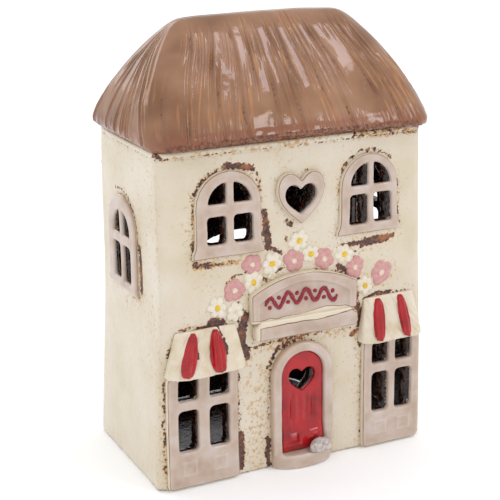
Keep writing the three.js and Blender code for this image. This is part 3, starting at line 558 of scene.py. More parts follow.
mauve_pieces = {
    "upper_left_window": {"carve": splayed(-33, 104.2)},
    "upper_right_window": {"carve": splayed(37.2, 105.6), "halo": 0.8},
    "heart_window": {"halo": 0.45},
    "left_shop_window": {"carve": panelled(-47.1, 7.4)},
    "right_shop_window": {"carve": panelled(49.5, 6.5)},
    "left_side_window": {"wall": "left", "glazed_to": 0.9},
    "right_side_window": {"wall": "right", "glazed_to": 0.9},
    "door_surround": {"voxel": 0.45, "rounds": 9, "swell": 0.25, "halo": 0.8, "luted": ["doorstep"],
                      "glazed_to": 0.6},
    "sign_plaque": {"rounds": 8, "swell": 0.2, "halo": 0.8, "cream_above": under_plaque_glaze},
    "sign_bar": {"rounds": 10, "swell": 0.2, "halo": 0.8, "carve": wedged, "cream_above": over_bar_glaze},
}
for node, settings in mauve_pieces.items():
    press(node, mauve, "mauve_glaze", **settings)
press("doorstep_lump", mottled, "mottled_glaze", voxel=0.35)


def boarded(points, faces):
    """Soft boards up the middle of the door, a ledge across its foot and two square knobs on it."""
    across = points[:, 0] - 2.6
    height = points[:, 2]
    middle_boards = ramp(height, 20, 4) * ramp(height, 37, -6) * ramp(np.abs(across), 8.5, -1.5)
    rise = 0.32 * np.cos(across * 2 * math.pi / 3.6) * middle_boards
    ledge = 17.4 - 0.06 * across
    rise += 0.75 * ramp(height, ledge + 1.2, -2.4) * ramp(height, 7.5, 2)
    for knob_x, knob_height in ((-5.4, 13.8), (5.6, 13.6)):
        off = np.maximum(np.abs(across - knob_x) - 1.7, np.abs(height - knob_height) - 1.3)
        rise += 0.9 * ramp(off, 0.72, -1.2)
    rise += 0.5 * bell(across + 0.9, 1) * bell(height - 9.8, 0.8)
    return pressed_up(points, faces, rise)


press("door_leaf", red, "red_glaze", voxel=0.34, carve=boarded)


def creased(points, faces):
    """Fine upright creases in an awning, and a lip that isn't quite straight."""
    up = ramp(points[:, 2], 53.9, 20)
    fan = points[:, 0] * (1 + 0.35 * up)
    creases = noise_at(np.column_stack([fan, points[:, 1] * 0, points[:, 2] * 0.1]), 2.2, 63, 2)
    moved = pressed_up(points, faces, creases * 0.85)
    moved[:, 2] -= (1 - up) ** 4 * 0.5 * noise_at(points * [1, 0, 0], 7, 65)
    return moved


beside_stripes = {
    "right_of_first": (0.9, 1.2, [(-51.3, 67.4), (-50.7, 64.4), (-51.0, 62.2)]),
    "right_of_second": (1.1, 1.25, [(-37.3, 67.2), (-36.7, 64.8), (-37.0, 62.2)]),
    "over_right_of_second": (0.4, 1.0, [(-38.9, 73.0), (-38.0, 69.5)]),
    "right_awning_stripe": (0.4, 0.95, [(38.4, 66.8), (38.2, 63.0)]),
}
for side in ("left_awning", "right_awning"):
    press(side, awning_cream, "cream_glaze", rounds=14, swell=0.35, carve=creased, halo=0.6,
          scars=beside_stripes)


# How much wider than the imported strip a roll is, as a share, from its foot to its top
left_roll = [-0.02, 0.08, 0.04, -0.12, -0.22, -0.6]
right_roll = [-0.35, -0.06, -0.1, -0.12, -0.12, -0.4]


def rolled(points, faces):
    """A raised roll of red clay with two finger ridges along it."""
    axis = np.polyfit(points[:, 2], points[:, 0], 1)
    across = points[:, 0] - np.polyval(axis, points[:, 2])
    ridges = np.cos((across + 0.25 * noise_at(points * [0, 0, 1], 6, 9)) * 2 * math.pi / 2.3)
    rise = 0.8 * np.clip(1 - (across / 3.4) ** 2, 0, 1) + 0.42 * ridges
    rise += 0.15 * noise_at(points, 2.5, 11)
    moved = pressed_up(points, faces, rise)
    up = (points[:, 2] - points[:, 2].min()) / np.ptp(points[:, 2])
    wider = left_roll if points[:, 0].mean() < 0 else right_roll
    moved[:, 0] += across * np.interp(up, [0, 0.12, 0.3, 0.7, 0.9, 1], wider)
    moved[:, 2] += 1.2 * ramp(up, 0.3, -0.3)
    return moved


for side in ("left_awning", "right_awning"):
    for number in (1, 2):
        press(f"{side}_stripe_{number}", red, "red_glaze", voxel=0.34, rounds=6, swell=0.4, carve=rolled,
              halo=0.3)


# The garland. Each flower is a low pressed disc with its own petals
def ring(x, height, reach, out):
    """A ring of points round a place on the front wall; reach is given for every point of it."""
    angles = np.arange(len(reach)) * 2 * math.pi / len(reach)
    return on_front(x + reach * np.cos(angles), height + reach * np.sin(angles), out + 0 * reach)


def flower(name, x, height, radius, petals, turn, material, slot, thickness, lobe, seed, nodes):
    around = 84
    face = 0.05
    buried = -0.3
    angles = np.arange(around) * 2 * math.pi / around
    wobble = 1 + 0.07 * np.sin(angles * 2 + seed) + 0.05 * np.sin(angles * 3 + seed * 2.3)
    petal = np.abs(np.cos(petals * (angles - math.radians(turn)) / 2))
    reach = radius * wobble * (1 - lobe + lobe * petal ** 0.7)
    inner = np.linspace(0, 1, 12)[1:]
    rows = []
    for share in inner:
        dome = (1 - share ** 4) ** 0.5 * (0.78 + 0.22 * petal * share ** 0.4) - 0.12 * bell(share, 0.3)
        rows.append(ring(x, height, share * reach, face + thickness * dome))
    rows.append(ring(x, height, reach, buried))
    top = on_front(x, height, np.array([face + thickness * 0.55]))
    under = on_front(x, height, np.array([buried]))
    points = handmade(np.concatenate([top, *rows, under]))
    share = np.concatenate([[0], np.repeat(inner, around), np.ones(around), [1]])
    add_piece(name, points, skin(len(rows), around, flip=True), material, slot, nodes, marks={
        "middle": ramp(share * radius, 1.35, -0.25), "rim": ramp(share, 0.75, 0.25),
    })
    pressed_on.append((points, 0.5))


def bead(name, x, height, out, radius, rise, material, slot, nodes):
    """A drop of slip, a little off round."""
    around = 20
    buried = out - 0.8
    uneven = 1 + 0.08 * np.sin(np.arange(around) * 4 * math.pi / around + x)
    rows = [ring(x, height, np.full(around, radius * 0.98), buried)]
    for lift in np.linspace(0, math.pi / 2 * 0.94, 7):
        rows.append(ring(x, height, radius * math.cos(lift) * uneven, out + rise * math.sin(lift)))
    under = on_front(x, height, np.array([buried]))
    top = on_front(x, height, np.array([out + rise]))
    points = handmade(np.concatenate([under, *rows, top]))
    add_piece(name, points, skin(len(rows), around), material, slot, nodes)


pink_flowers = [
    (-30.1, 88.1, 5.5, 10), (-21.1, 98.6, 5.0, 40), (-0.5, 97.5, 5.4, 25),
    (14.8, 96.1, 5.3, 54), (30.7, 89.9, 5.2, 5), (44.8, 85.3, 5.9, 30),
]
daisies = [
    (-39.0, 81.5, 5.2, 0), (-20.8, 90.5, 5.5, 20), (-11.4, 97.7, 5.2, 55), (2.0, 106.3, 5.2, 12),
    (7.8, 99.5, 4.4, 40), (24.9, 96.9, 5.1, 8), (35.8, 80.5, 4.8, 33),
]
for number, (x, height, radius, turn) in enumerate(pink_flowers, 1):
    name = f"pink_flower_{number}"
    flower(name, x, height, radius, 5, turn, pink_petals, "pink_glaze", 1.15, 0.2, number, [name])
for number, (x, height, radius, turn) in enumerate(daisies, 1):
    name = f"daisy_{number}"
    flower(name, x, height, radius, 6, turn, white_petals, "white_glaze", 1.2, 0.3, number + 9, [name])
    centre = f"daisy_centre_{number}"
    bead(centre, x, height, 0.9, 1.45, 0.7, yellow_dots, "yellow_glaze", [centre])
flower("plain_flower", -30.0, 78.4, 4.8, 6, 35, white_petals, "white_glaze", 1.1, 0.28, 31, ["plain_flower"])
flower("flower_bud", -11.4, 92.2, 2.1, 4, 10, white_petals, "white_glaze", 1.0, 0.15, 37, [])

# The sign's painted flourish: one trailed wave with a dot in each hollow
sign_face = 3.3
sign_left = -16.2
sign_width = 36
waves = 4


def trail(name, path, width, rise):
    """A line of slip trailed along a path of (x, height, out) on the front wall."""
    forward = np.gradient(path[:, :2], axis=0)
    forward /= np.linalg.norm(forward, axis=1, keepdims=True)
    sideways = np.stack([-forward[:, 1], forward[:, 0]], axis=1)
    around = 12
    along = np.arange(len(path))
    taper = np.clip(np.minimum(along, along[::-1]) / 3, 0.25, 1) ** 0.5
    uneven = 1 + 0.14 * np.sin(along * 0.9) + 0.1 * np.sin(along * 2.3)
    rows = []
    for k in range(around):
        angle = 2 * math.pi * k / around
        offset = sideways * (width / 2 * math.cos(angle) * taper * uneven)[:, None]
        out = path[:, 2] + rise * max(math.sin(angle), -0.5) * taper
        rows.append(on_front(path[:, 0] + offset[:, 0], path[:, 1] + offset[:, 1], out))
    rings = np.stack(rows, axis=1)
    points = np.concatenate([rings[:1].mean(axis=1), rings.reshape(-1, 3), rings[-1:].mean(axis=1)])
    add_piece(name, handmade(points), skin(len(path), around, flip=True), raspberry, "red_glaze")


def sign_line(share):
    """Height of the arched line that the flourish follows, at this share of its width."""
    return 79.6 + 2.2 * (1 - (2 * share - 1) ** 2)


steps = np.linspace(0, 1, 120)
wave_height = sign_line(steps) + 2.9 * np.sin(2 * math.pi * waves * steps)
wave = np.stack([sign_left + sign_width * steps, wave_height, np.full(120, sign_face + 0.1)], axis=1)
trail("sign_flourish", wave, 1.7, 0.6)
for number in range(2 * waves):
    share = (number + 0.5) / (2 * waves)
    hollow = -1.6 if number % 2 == 0 else 1.6
    bead(f"sign_dot_{number + 1}", sign_left + sign_width * share, sign_line(share) + hollow, sign_face, 0.95,
         0.5, raspberry, "red_glaze", [])

# The shell: the four walls and the floor as one body, since slip and glaze close their joints. First the lines
# along which it is bare or its glaze warmer, with two broad bands of painted shade on the sides, as (x,
# height) on the front and (y, height) on the sides
bare_front = {
    "left_of_arch": (1.2, 0.85, [(-48.4, 131.3), (-46.8, 134.4), (-44.4, 137.4), (-41.4, 139.9)]),
    "arch_shoulder": (0.5, 0.75, [(-41.4, 139.9), (-37.4, 142.7), (-31.8, 144.3)]),
    "over_left_arch": (1.3, 1.2, [(-33, 143.9), (-27.2, 143.4), (-21.8, 141.6)]),
    "right_of_arch": (0.9, 0.7, [(-21.5, 141.4), (-18.6, 137.9), (-16.6, 131)]),
    "left_jamb": (0.7, 0.62, [(-49.2, 130), (-49.6, 124.4), (-49.3, 117.1), (-50.4, 111.3)]),
    "left_jamb_foot": (1, 0.8, [(-50.2, 110.6), (-49.6, 107.6), (-49.4, 104)]),
    "right_of_left_window": (1.6, 1.4, [(-15.2, 121.2), (-14.4, 115.8), (-13.8, 111.1), (-13, 105.1)]),
    "above_daisies": (1, 1, [(-13, 105.1), (-10.5, 103.4), (-7.2, 101.8)]),
    "under_left_sill": (1.3, 0.9, [(-49.2, 101.6), (-46, 101), (-42, 100.8)]),
    "under_left_sill_thin": (0.9, 0.7, [(-42, 100.6), (-36, 100.6), (-30, 101.2)]),
    "left_of_heart": (1.1, 0.85, [(-3.8, 116.2), (-1.2, 112.9)]),
    "under_heart": (0.8, 0.75, [(-4, 108.5), (-3.5, 106.8)]),
    "over_heart": (0.6, 0.65, [(5, 137.1), (6.4, 136.8)]),
    "over_first_pink": (0.7, 0.8, [(-33.9, 92), (-29.8, 94.2), (-25.9, 94.7), (-24.7, 95.9)]),
    "left_of_bud": (0.9, 0.9, [(-15.8, 92), (-13.9, 90.4)]),
    "right_of_bud": (0.8, 0.9, [(-9.1, 93.4), (-5.9, 95)]),
    "beside_plain_flower": (0.55, 0.95, [(-28.4, 82), (-26.4, 79.8), (-25, 76.2)]),
    "left_of_sign": (2.3, 1.4, [(-24.9, 75.6), (-26.2, 71.4), (-27.2, 67.8), (-26.6, 64.6)]),
    "left_of_bar": (1.5, 1.3, [(-26.6, 65.4), (-25, 61.3), (-24, 57.9), (-24, 55.6)]),
    "under_bar_end": (0.7, 1, [(-24, 60.8), (-18.2, 60.4)]),
    "over_left_awning_end": (0.6, 0.75, [(-57.2, 74), (-52.3, 74.6), (-49, 74.2)]),
    "over_left_awning": (0.9, 1.3, [(-48.8, 73.6), (-46, 74), (-43.5, 74.6)]),
    "under_first_daisy": (1.8, 1.4, [(-42.8, 74.8), (-39.6, 75.2), (-36.8, 74.4)]),
    "over_left_awning_right": (0.6, 0.9, [(-36.4, 75.2), (-34.2, 76.6), (-32.4, 75), (-29, 74.6)]),
    "left_awning_side": (0.8, 0.95, [(-59.1, 71), (-60.7, 68.2), (-62, 66.2), (-62.8, 62.4)]),
    "left_of_left_shop": (0.7, 0.75, [(-65, 51.7), (-65, 38.3), (-65.1, 27.1), (-65, 8)]),
    "right_of_left_shop": (0.7, 0.75, [(-28.6, 52), (-28.6, 34.4), (-28.5, 20)]),
    "foot_of_left_shop": (1.5, 1.2, [(-28, 19.6), (-27.4, 13.4), (-27.8, 8.4), (-28.4, 3)]),
    "left_of_door": (0.6, 0.55, [(-13.4, 46), (-13.6, 34.2), (-13.6, 23)]),
    "foot_of_door": (1.4, 1.25, [(-13.8, 14.6), (-14.6, 9.6), (-14.4, 4.6), (-13.8, 2.1)]),
    "over_door": (1.4, 0.8, [(-13.2, 49.6), (-11.4, 53.9), (-8.3, 57.8), (-3.8, 60.4), (3.9, 62)]),
    "under_sign": (1, 0.75, [(-17.6, 60.9), (-11.9, 61.3), (-2, 61.8), (6.2, 62.2), (11, 61.6)]),
    "under_sign_right": (0.8, 0.5, [(11, 61.6), (22, 61.8), (29, 61.2)]),
    "right_of_plaque": (0.6, 1.1, [(32.7, 84.4), (32.4, 80.4)]),
    "beside_last_daisy": (0.9, 1.2, [(33.2, 78.6), (31.8, 75.2)]),
    "right_of_bar": (1.8, 1.35, [(31.8, 71.8), (32.8, 69.4), (33.4, 67.4)]),
    "right_end_of_bar": (0.9, 1.15, [(33.6, 66.6), (33.8, 64), (32.6, 61.4)]),
    "under_right_end_of_bar": (1.1, 1.25, [(31.6, 59.4), (29.8, 57.8)]),
    "left_of_right_shop": (0.9, 0.9, [(32.6, 53.6), (33.4, 51.6)]),
    "right_shop_line": (0.35, 0.62, [(34.6, 48), (34.8, 8)]),
    "over_right_awning": (0.9, 1.2, [(36.9, 73.8), (40, 75.2), (42.6, 75.6), (45.6, 75.2)]),
    "over_right_awning_middle": (0.8, 1.2, [(47, 75.6), (50.6, 75.4)]),
    "over_right_awning_end": (0.5, 0.62, [(51.6, 74.7), (58, 74.2)]),
    "over_right_arch": (0.6, 0.85, [(23.4, 135.5), (25.4, 138.4), (28.2, 140.6), (32.6, 142.9), (38.7, 144),
                                   (42.8, 142.2), (46.9, 141), (49, 138.2)]),
    "right_jamb": (0.7, 0.62, [(52.4, 130), (53.6, 116.1), (54.2, 111.8), (54.2, 107.5)]),
    "under_right_sill": (1.8, 1.4, [(34.5, 100.6), (42.9, 100.9), (47, 101.3)]),
    "under_right_sill_end": (1.1, 1.3, [(47, 101.5), (50.6, 101.9)]),
    "under_right_sill_thin": (0.9, 1.1, [(23.8, 101.6), (28.2, 101), (34.5, 101)]),
    "under_right_sill_crumbs": (0.4, 0.85, [(30, 97.6), (34.6, 98.2)]),
    "right_of_garland": (1.1, 1.1, [(22, 91.6), (25.9, 89.1), (28.1, 87.2)]),
    "eave_right": (1.4, 0.48, [(30, 150.6), (47.1, 150.8), (64, 149.8)]),
    "eave_corner": (0.9, 1.1, [(-64.8, 150.2), (-62.4, 150.6)]),
}
bare_side = {
    "front_jamb": (1.4, 1.25, [(-13, 106), (-13.6, 99), (-13.8, 92), (-14, 86.4)]),
    "over_arch": (0.7, 0.62, [(13, 127.6), (6, 128.6), (-1.6, 126.6), (-8.2, 120.4), (-11.6, 111)]),
    "eave_corner": (0.8, 1, [(-33.4, 150.4), (-31, 150.8)]),
    "under_sill": (0.7, 0.6, [(-3, 80.6), (-9.6, 81.6), (-12.4, 83.4)]),
    "back_jamb": (0.7, 0.3, [(22.6, 118), (23, 90)]),
}
warm_front = {
    "between_shop_and_door": (7, 0.42, [(-21, 4), (-20, 56)]),
    "under_left_sill": (1.6, 0.95, [(-49, 101), (-40, 100.6), (-28, 101)]),
    "under_left_window": (7, 0.28, [(-48, 97), (-36, 88)]),
    "left_of_left_window": (3, 0.3, [(-52, 104), (-51.5, 122)]),
    "under_sign": (3, 0.62, [(-17, 59), (-4, 60.5)]),
    "under_bar": (3, 0.45, [(12, 60.5), (31, 59)]),
    "right_of_door": (6, 0.12, [(25, 4), (24, 58)]),
    "under_right_window": (3, 0.3, [(30, 98), (50, 99.5)]),
    "under_eave_right": (1.8, 0.75, [(30, 150.6), (64, 149.8)]),
    "under_eave": (1.5, 0.5, [(-66, 149.2), (0, 149.6), (66, 149.2)]),
}
# On the side walls the broad bands towards the front corner and under the eave are painted shade; the narrow
# lines under the sill and by the front jamb are warmer glaze
warm_and_shaded_side = {
    "front_corner": (20, 0.22, [(-34, 150), (-36, 60)]),
    "under_eave": (16, 0.2, [(-30, 152), (30, 152)]),
    "under_sill": (3, 0.36, [(-16, 84), (-10, 79.5), (4, 77.5)]),
    "front_jamb": (3, 0.42, [(-13.5, 108), (-14.5, 86)]),
}

shell_nodes = ["front_wall", "back_wall", "left_wall", "right_wall", "floor_slab"]
shell_voxel = 0.8
points, faces = softened(shell_nodes, shell_voxel, 0.28, 3)
depth = inward(points)
outer = depth < 1.0
x, y, height = points.T
slack = height * math.tan(draft)
from_front = base_depth / 2 - slack + y
from_side = base_width / 2 - slack - np.abs(x)
near_pieces = KDTree(sum(len(cloud[::3]) for cloud, _ in pressed_on))
halos = []
for cloud, halo in pressed_on:
    for place in cloud[::3]:
        near_pieces.insert(place, len(halos))
        halos.append(halo)
near_pieces.balance()
near_front = np.abs(y + base_depth / 2) < 5
near_corner = np.where(y > 30, np.abs(x) > 58, np.abs(y) > 26)
near_corner = np.where(near_front, from_side < 1.2, near_corner)
closed = outer & near_corner & (depth > -0.2)
corner = points[closed]
corner_out = np.where(np.abs(corner[:, :1]) > 63, np.sign(corner) * [1, 0, 0], np.sign(corner) * [0, 1, 0])
points[closed] += corner_out * np.clip(depth[closed], 0, 0.9)[:, None] * 0.8
# The knife that cut the front panes was held aslant, so that their right jambs lean in; more so on the right
at_panes = (height > 6) & (height < 146)
leaning = (from_front > 0.3) & (from_front < 4.6) & at_panes & (from_side > 4.5)
lean = np.clip(-normals_of(points, faces)[:, :1] * 1.4, 0, 1) * leaning[:, None]
for _ in range(2):
    lean = np.maximum(lean, averaged(lean, faces)) * (from_front > 0.2)[:, None]
lean = lean[:, 0] * ramp(from_front, 0.2, 3.6)
points[:, 0] -= lean * np.interp(x, [-60, -15, 25, 60], [1.7, 1.5, 3.0, 3.1])
shaped = handmade(points)
bare = np.zeros(len(points))
warm = np.zeros(len(points))
for index in np.flatnonzero(outer):
    _, nearest, gap = near_pieces.find(shaped[index])
    bare[index] = 0.5 * halos[nearest] * math.exp(-max(gap - 0.3, 0) / 0.6)
    warm[index] = 0.5 * halos[nearest] * math.exp(-max(gap - 0.5, 0) / 3.2)
uneven = noise_at(points, 9, 21, 2)
bare *= 0.75 + 1.1 * uneven
front = outer & (from_front < from_side) & (y < 0)
sides = outer & (from_side < from_front) & (np.abs(x) > 58)
on_wall = points[:, [0, 2]] + np.stack([noise_at(points, 4, seed) for seed in (23, 24)], axis=1) * 0.9
for marked, front_lines, side_lines in ((bare, bare_front, bare_side), (warm, warm_front, warm_and_shaded_side)):
    marked[front] = np.maximum(marked[front], scraped(on_wall[front], front_lines))
    marked[sides] = np.maximum(marked[sides], scraped(points[sides][:, [1, 2]], side_lines))
seam = bell(height - seam_height, 0.5) * outer * np.where(front, 1.0, 0.72)
bare = np.maximum(bare, seam * (0.6 + 0.25 * noise_at(points, 12, 27)))
bare = np.maximum(bare, 0.75 * np.exp(-height / 0.7) * outer)
bare = np.clip(bare, 0, 1.3)
warm = np.maximum(warm, bare * 0.6) + 0.16 * noise_at(points, 26, 33, 2)
normals = normals_of(points, faces)
ripple = 0.12 * noise_at(points, 9, 41, 3) + 0.22 * noise_at(points, 28, 43) - 0.25 * ramp(bare, 0.5, 1)
under_eave = (0.8 + 0.3 * noise_at(points, 6, 45)) * bell(height - slip_height, 1)
under_eave = under_eave * np.where(front, 1.0, 0.25) - 0.3 * seam
in_jamb = (depth > 0.8) & (depth < 3.6)
crumbly = 0.45 * noise_at(points, 2.0, 47, 2)
shaped = shaped + normals * ((ripple + under_eave) * outer + crumbly * in_jamb)[:, None]
# The left wall draws in a little towards the top of its back corner
back_corner = ramp(y, 16, 22) ** 1.5 * ramp(-x, 10, 50)
shaped[:, 0] += 1.3 * back_corner * ramp(height, 0, 150)
shaped[:, 2] = np.maximum(shaped[:, 2], 0.0)
facing = np.where(front, -normals[:, 1], np.abs(normals[:, 0]))
turned = ramp(facing, 0.94, -0.12) * (front | sides)
in_pane = turned * ~near_corner * (height > 4) * (height < 146)
inside = np.maximum(ramp(depth, 0.45, 0.6) * ~(outer & near_corner), in_pane) * (height > 0.4)
add_piece("clay_shell", shaped, faces, cream, "cream_glaze", shell_nodes, marks={
    "bare": bare, "warm": warm, "inside": inside,
})

# The roof: rings from the crown of the hollow, down inside, round the lip and up to the ridge
seat_x = base_width / 2 - wall_top * math.tan(draft)
seat_y = base_depth / 2 - wall_top * math.tan(draft)
columns = {"front": 380, "corner": 26, "side": 180}


def roof_halves(up):
    """Half the width and half the depth of the roof at this share of its height."""
    hip = (1 - up ** hip_bulge) ** (1 / hip_bulge)
    slope = (1 - up ** slope_bulge) ** (1 / slope_bulge)
    half_x = ridge_half + (seat_x + eave_side - ridge_half) * hip
    half_y = ridge_half_thickness + (seat_y + eave_front - ridge_half_thickness) * slope
    return half_x, half_y


def roof_ring(half_x, half_y, corner, height, arch=0.0, camber=0.0):
    """A ring of the roof with round corners. arch lifts the middle of its edges and camber the middle of the
    front and the back."""
    radius = (corner ** -4 + (half_y * 0.8) ** -4) ** -0.25
    ring = []
    edges = [
        (columns["front"], (-1, -1), (1, -1), -90), (columns["side"], (1, -1), (1, 1), 0),
        (columns["front"], (1, 1), (-1, 1), 90), (columns["side"], (-1, 1), (-1, -1), 180),
    ]
    for count, start, end, angle in edges:
        outward = math.radians(angle)
        push = np.array([math.cos(outward), math.sin(outward)]) * radius
        start = np.array(start) * [half_x - radius, half_y - radius]
        end = np.array(end) * [half_x - radius, half_y - radius]
        share = (np.arange(count) / count)[:, None]
        ring.append(start + (end - start) * share + push)
        turn = outward + math.pi / 2 * np.arange(columns["corner"]) / columns["corner"]
        ring.append(end + radius * np.stack([np.cos(turn), np.sin(turn)], axis=1))
    ring = np.concatenate(ring)
    mid_front = 1 - (ring[:, 0] / half_x) ** 2
    mid_side = 1 - (ring[:, 1] / half_y) ** 2
    level = arch * (eave_arch_front * mid_front + eave_arch_side * mid_side) + camber * mid_front
    return np.column_stack([ring, height + level])


rows = []
ups = []
for up in np.linspace(0.86, 0, 9):
    half_x, half_y = roof_halves(up)
    height = eave_height + (ridge_height - eave_height) * up
    inner_x = min(seat_x - 5, half_x - roof_shell)
    inner_y = min(seat_y - 5, max(1, half_y - roof_shell))
    rows.append(roof_ring(inner_x, inner_y, 3, height))
rows.append(roof_ring(seat_x - 5, seat_y - 5, 3, roof_seat))
rows.append(roof_ring(seat_x - 2.5, seat_y - 2.5, 3, roof_seat))
inner_rows = len(rows)
lip_profile = np.array([
    (0.0, 151.8, 0.0), (0.2, 151.6, 0.4), (0.45, 151.3, 0.9), (0.65, 151.1, 1.0), (0.78, 151.0, 1.0),
    (0.88, 151.2, 1.0), (0.945, 151.7, 0.9), (0.98, 152.4, 0.75), (0.995, 153.1, 0.6),
])
for share in np.linspace(0, 1, 18):
    grow, height, arch = [np.interp(share * (len(lip_profile) - 1), range(len(lip_profile)), column)
                          for column in lip_profile.T]
    rows.append(roof_ring(seat_x + eave_side * grow, seat_y + eave_front * grow, 4 + 8 * grow, height, arch))
lip_rows = len(rows)
slope_rows = 130
for k in range(slope_rows + 1):
    up = math.sin(math.pi / 2 * k / slope_rows) ** 1.15
    base = eave_height - 0.8 + (ridge_height - ridge_camber - 0.3 - eave_height + 0.8) * up
    rows.append(roof_ring(*roof_halves(up), roof_corner, base, max(0, 0.5 - 5 * up), ridge_camber * up))
    ups.append(up)
for turn in np.radians([20, 40, 60, 78]):
    rows.append(roof_ring(
        ridge_half - 2 * (1 - math.cos(turn)), ridge_half_thickness * math.cos(turn), 2,
        ridge_height - ridge_camber - 0.3 + 0.3 * math.sin(turn), 0, ridge_camber,
    ))
grid = np.stack(rows)
row_count, ring_count = grid.shape[:2]
# The hem was pressed closer to the left wall and its front corner, and sits a little higher there
crown_rows = row_count - lip_rows - len(ups)
low = np.concatenate([
    np.zeros(inner_rows), ramp(np.linspace(0, 1, lip_rows - inner_rows), 0, 0.45),
    ramp(np.array(ups), 0.35, -0.35), np.zeros(crown_rows),
])[:, None]
to_left = ramp(-grid[:, :, 0], 44, 18)
to_front = ramp(-grid[:, :, 1], 16, 12)
to_corner = bell(grid[:, :, 0] + 66, 14) * bell(grid[:, :, 1] + 36, 14)
grid[:, :, 0] += low * (1.1 * to_left + 2.0 * to_corner)
grid[:, :, 1] += low * 1.2 * to_corner
grid[:, :, 2] += low * (np.maximum(2.5 * to_left, 1.0 * to_front) - 1.3 * to_corner)
eave_ring = grid[lip_rows]
arc = np.concatenate([[0], np.cumsum(np.linalg.norm(np.diff(eave_ring, axis=0), axis=1))])
round_eave = arc[-1] + np.linalg.norm(eave_ring[0] - eave_ring[-1])
slope = ramp(np.arange(row_count), lip_rows - 12, slope_rows + 12)
groove, lip, cut = np.zeros((3, row_count, ring_count))
row_up = np.concatenate([np.zeros(lip_rows), ups, np.ones(crown_rows)])


def stroke(path, width, deep, drawn, lipped):
    """Draws one stroke of the comb: a hollow with a raised rim and a thin line where the glaze broke."""
    gap = (arc[None, :] - path[:, None] + round_eave / 2) % round_eave - round_eave / 2
    hollow = bell(gap, width) * drawn[:, None]
    raised = bell(np.abs(gap) - 1.7 * width, 0.5 * width) * drawn[:, None]
    thin = bell(gap - 1.4 * width, 0.32) * drawn[:, None]
    np.add(cut, deep * (0.25 * raised - hollow), out=cut)
    np.maximum(groove, hollow * min(1, deep * 2.2), out=groove)
    if lipped:
        np.maximum(lip, thin, out=lip)


# The deep strokes, as in the solid under the thatch
stroke_count = 48
for k in range(stroke_count):
    at = (k + 0.5 + 0.22 * math.sin(2.4 * k)) / stroke_count * round_eave
    foot = 0.28 if k % 3 == 1 else -0.2
    top = 0.66 if k % 3 == 2 else 0.98
    drawn = ramp(row_up, foot, 0.12) * ramp(row_up, top, -0.12) * (0.68 + 0.32 * np.sin(9 * row_up + 2.1 * k))
    path = at + (-3 + 2.5 * math.sin(1.7 * k)) * row_up + 0.6 * np.sin(7 * row_up + k)
    stroke(path, 0.95, 0.95 * (0.85 + 0.15 * math.sin(3.1 * k)), drawn, k % 2 == 0)
# Fine strokes between them, in small groups as the comb's teeth left them
long_groups = [((0.25, 0.75), (-0.1, 0.4))] * 42
low_groups = [((0.1, 0.3), (-0.1, 0.1))] * 32
high_groups = [((0.15, 0.4), (0.4, 0.55))] * 36
for long_range, low_range in long_groups + low_groups + high_groups:
    middle = random.uniform(0, round_eave)
    long = random.uniform(*long_range)
    start_low = random.uniform(*low_range)
    lean = random.uniform(-7, 3)
    for tooth in range(int(random.integers(2, 6))):
        at = middle + tooth * random.uniform(1.4, 2.6)
        start = start_low + random.uniform(-0.08, 0.08)
        width = random.uniform(0.35, 0.75)
        deep = random.uniform(0.12, 0.36)
        sway = random.uniform(-0.6, 0.6)
        path = at + lean * (slope - start) + sway * np.sin(slope * 7 + at)
        drawn = ramp(slope, start, 0.06) * ramp(slope, start + long, -0.12)
        stroke(path, width, deep, drawn, tooth % 2 == 0)
ring_span = np.ptp(grid[:, :, 1], axis=1) / np.ptp(eave_ring[:, 1])
on_side = np.abs(eave_ring[:, 0]) > seat_x - 3
narrow = np.where(on_side[None, :], np.clip(ring_span[:, None] * 1.6, 0.05, 1), 1.0)
outside = (np.arange(row_count) >= inner_rows + 2)[:, None]
fade_top = np.clip((1.0 - slope) / 0.04, 0.15, 1)[:, None]
cut = np.clip(cut, -1.1, 0.4) * narrow * outside * fade_top
points = grid.reshape(-1, 3)
normals = normals_of(points, belts(row_count, ring_count))
uneven = 0.4 * noise_at(points, 17, 51, 2).reshape(row_count, ring_count)
ragged = 0.55 * noise_at(points * [1, 1, 0.6], 3.0, 53, 2).reshape(row_count, ring_count)
swell = cut + uneven * outside + ragged * ramp(slope, 0.14, -0.1)[:, None] * outside
points = handmade(points + normals * swell.reshape(-1, 1))
points = np.concatenate([[points[:ring_count].mean(axis=0)], points, [points[-ring_count:].mean(axis=0)]])
dark_lip = ramp(slope, 0.21, -0.12)[:, None] * np.where(on_side, 0.4, 1.0)
roof_marks = {"groove": groove * outside, "lip": lip * narrow * outside, "rim": dark_lip}
roof_marks = {mark: np.pad(values.ravel(), 1) for mark, values in roof_marks.items()}
roof_faces = skin(row_count, ring_count)
add_piece("roof_thatch", points, roof_faces, thatch, "thatch_glaze", ["thatched_roof"], marks=roof_marks)

# The tea light
candle_x = 4.0
candle_y = -6.0
candle_foot = 6.3


def level_ring(reach, height, bend=0):
    """A level ring of points round the wick; reach is given for every point of it."""
    angles = np.arange(len(reach)) * 2 * math.pi / len(reach)
    return np.column_stack([
        candle_x + bend + reach * np.cos(angles), candle_y + reach * np.sin(angles),
        np.full(len(reach), candle_foot + height),
    ])


def spun(name, profile, material, slot, nodes, flutes=0, flute_depth=0.0):
    """A round piece turned from a closed profile of (radius, height), with flutes pressed in its side."""
    segments = 120
    angles = np.arange(segments) * 2 * math.pi / segments
    ripple = 1 + flute_depth / 19 * np.cos(angles * flutes)
    rings = []
    for radius, height in profile:
        rings.append(level_ring(radius * (ripple if radius > 17 else np.ones(segments)), height))
    faces = belts(len(profile), segments, closed=True)
    add_piece(name, np.concatenate(rings), faces, material, slot, nodes, body="tealight")


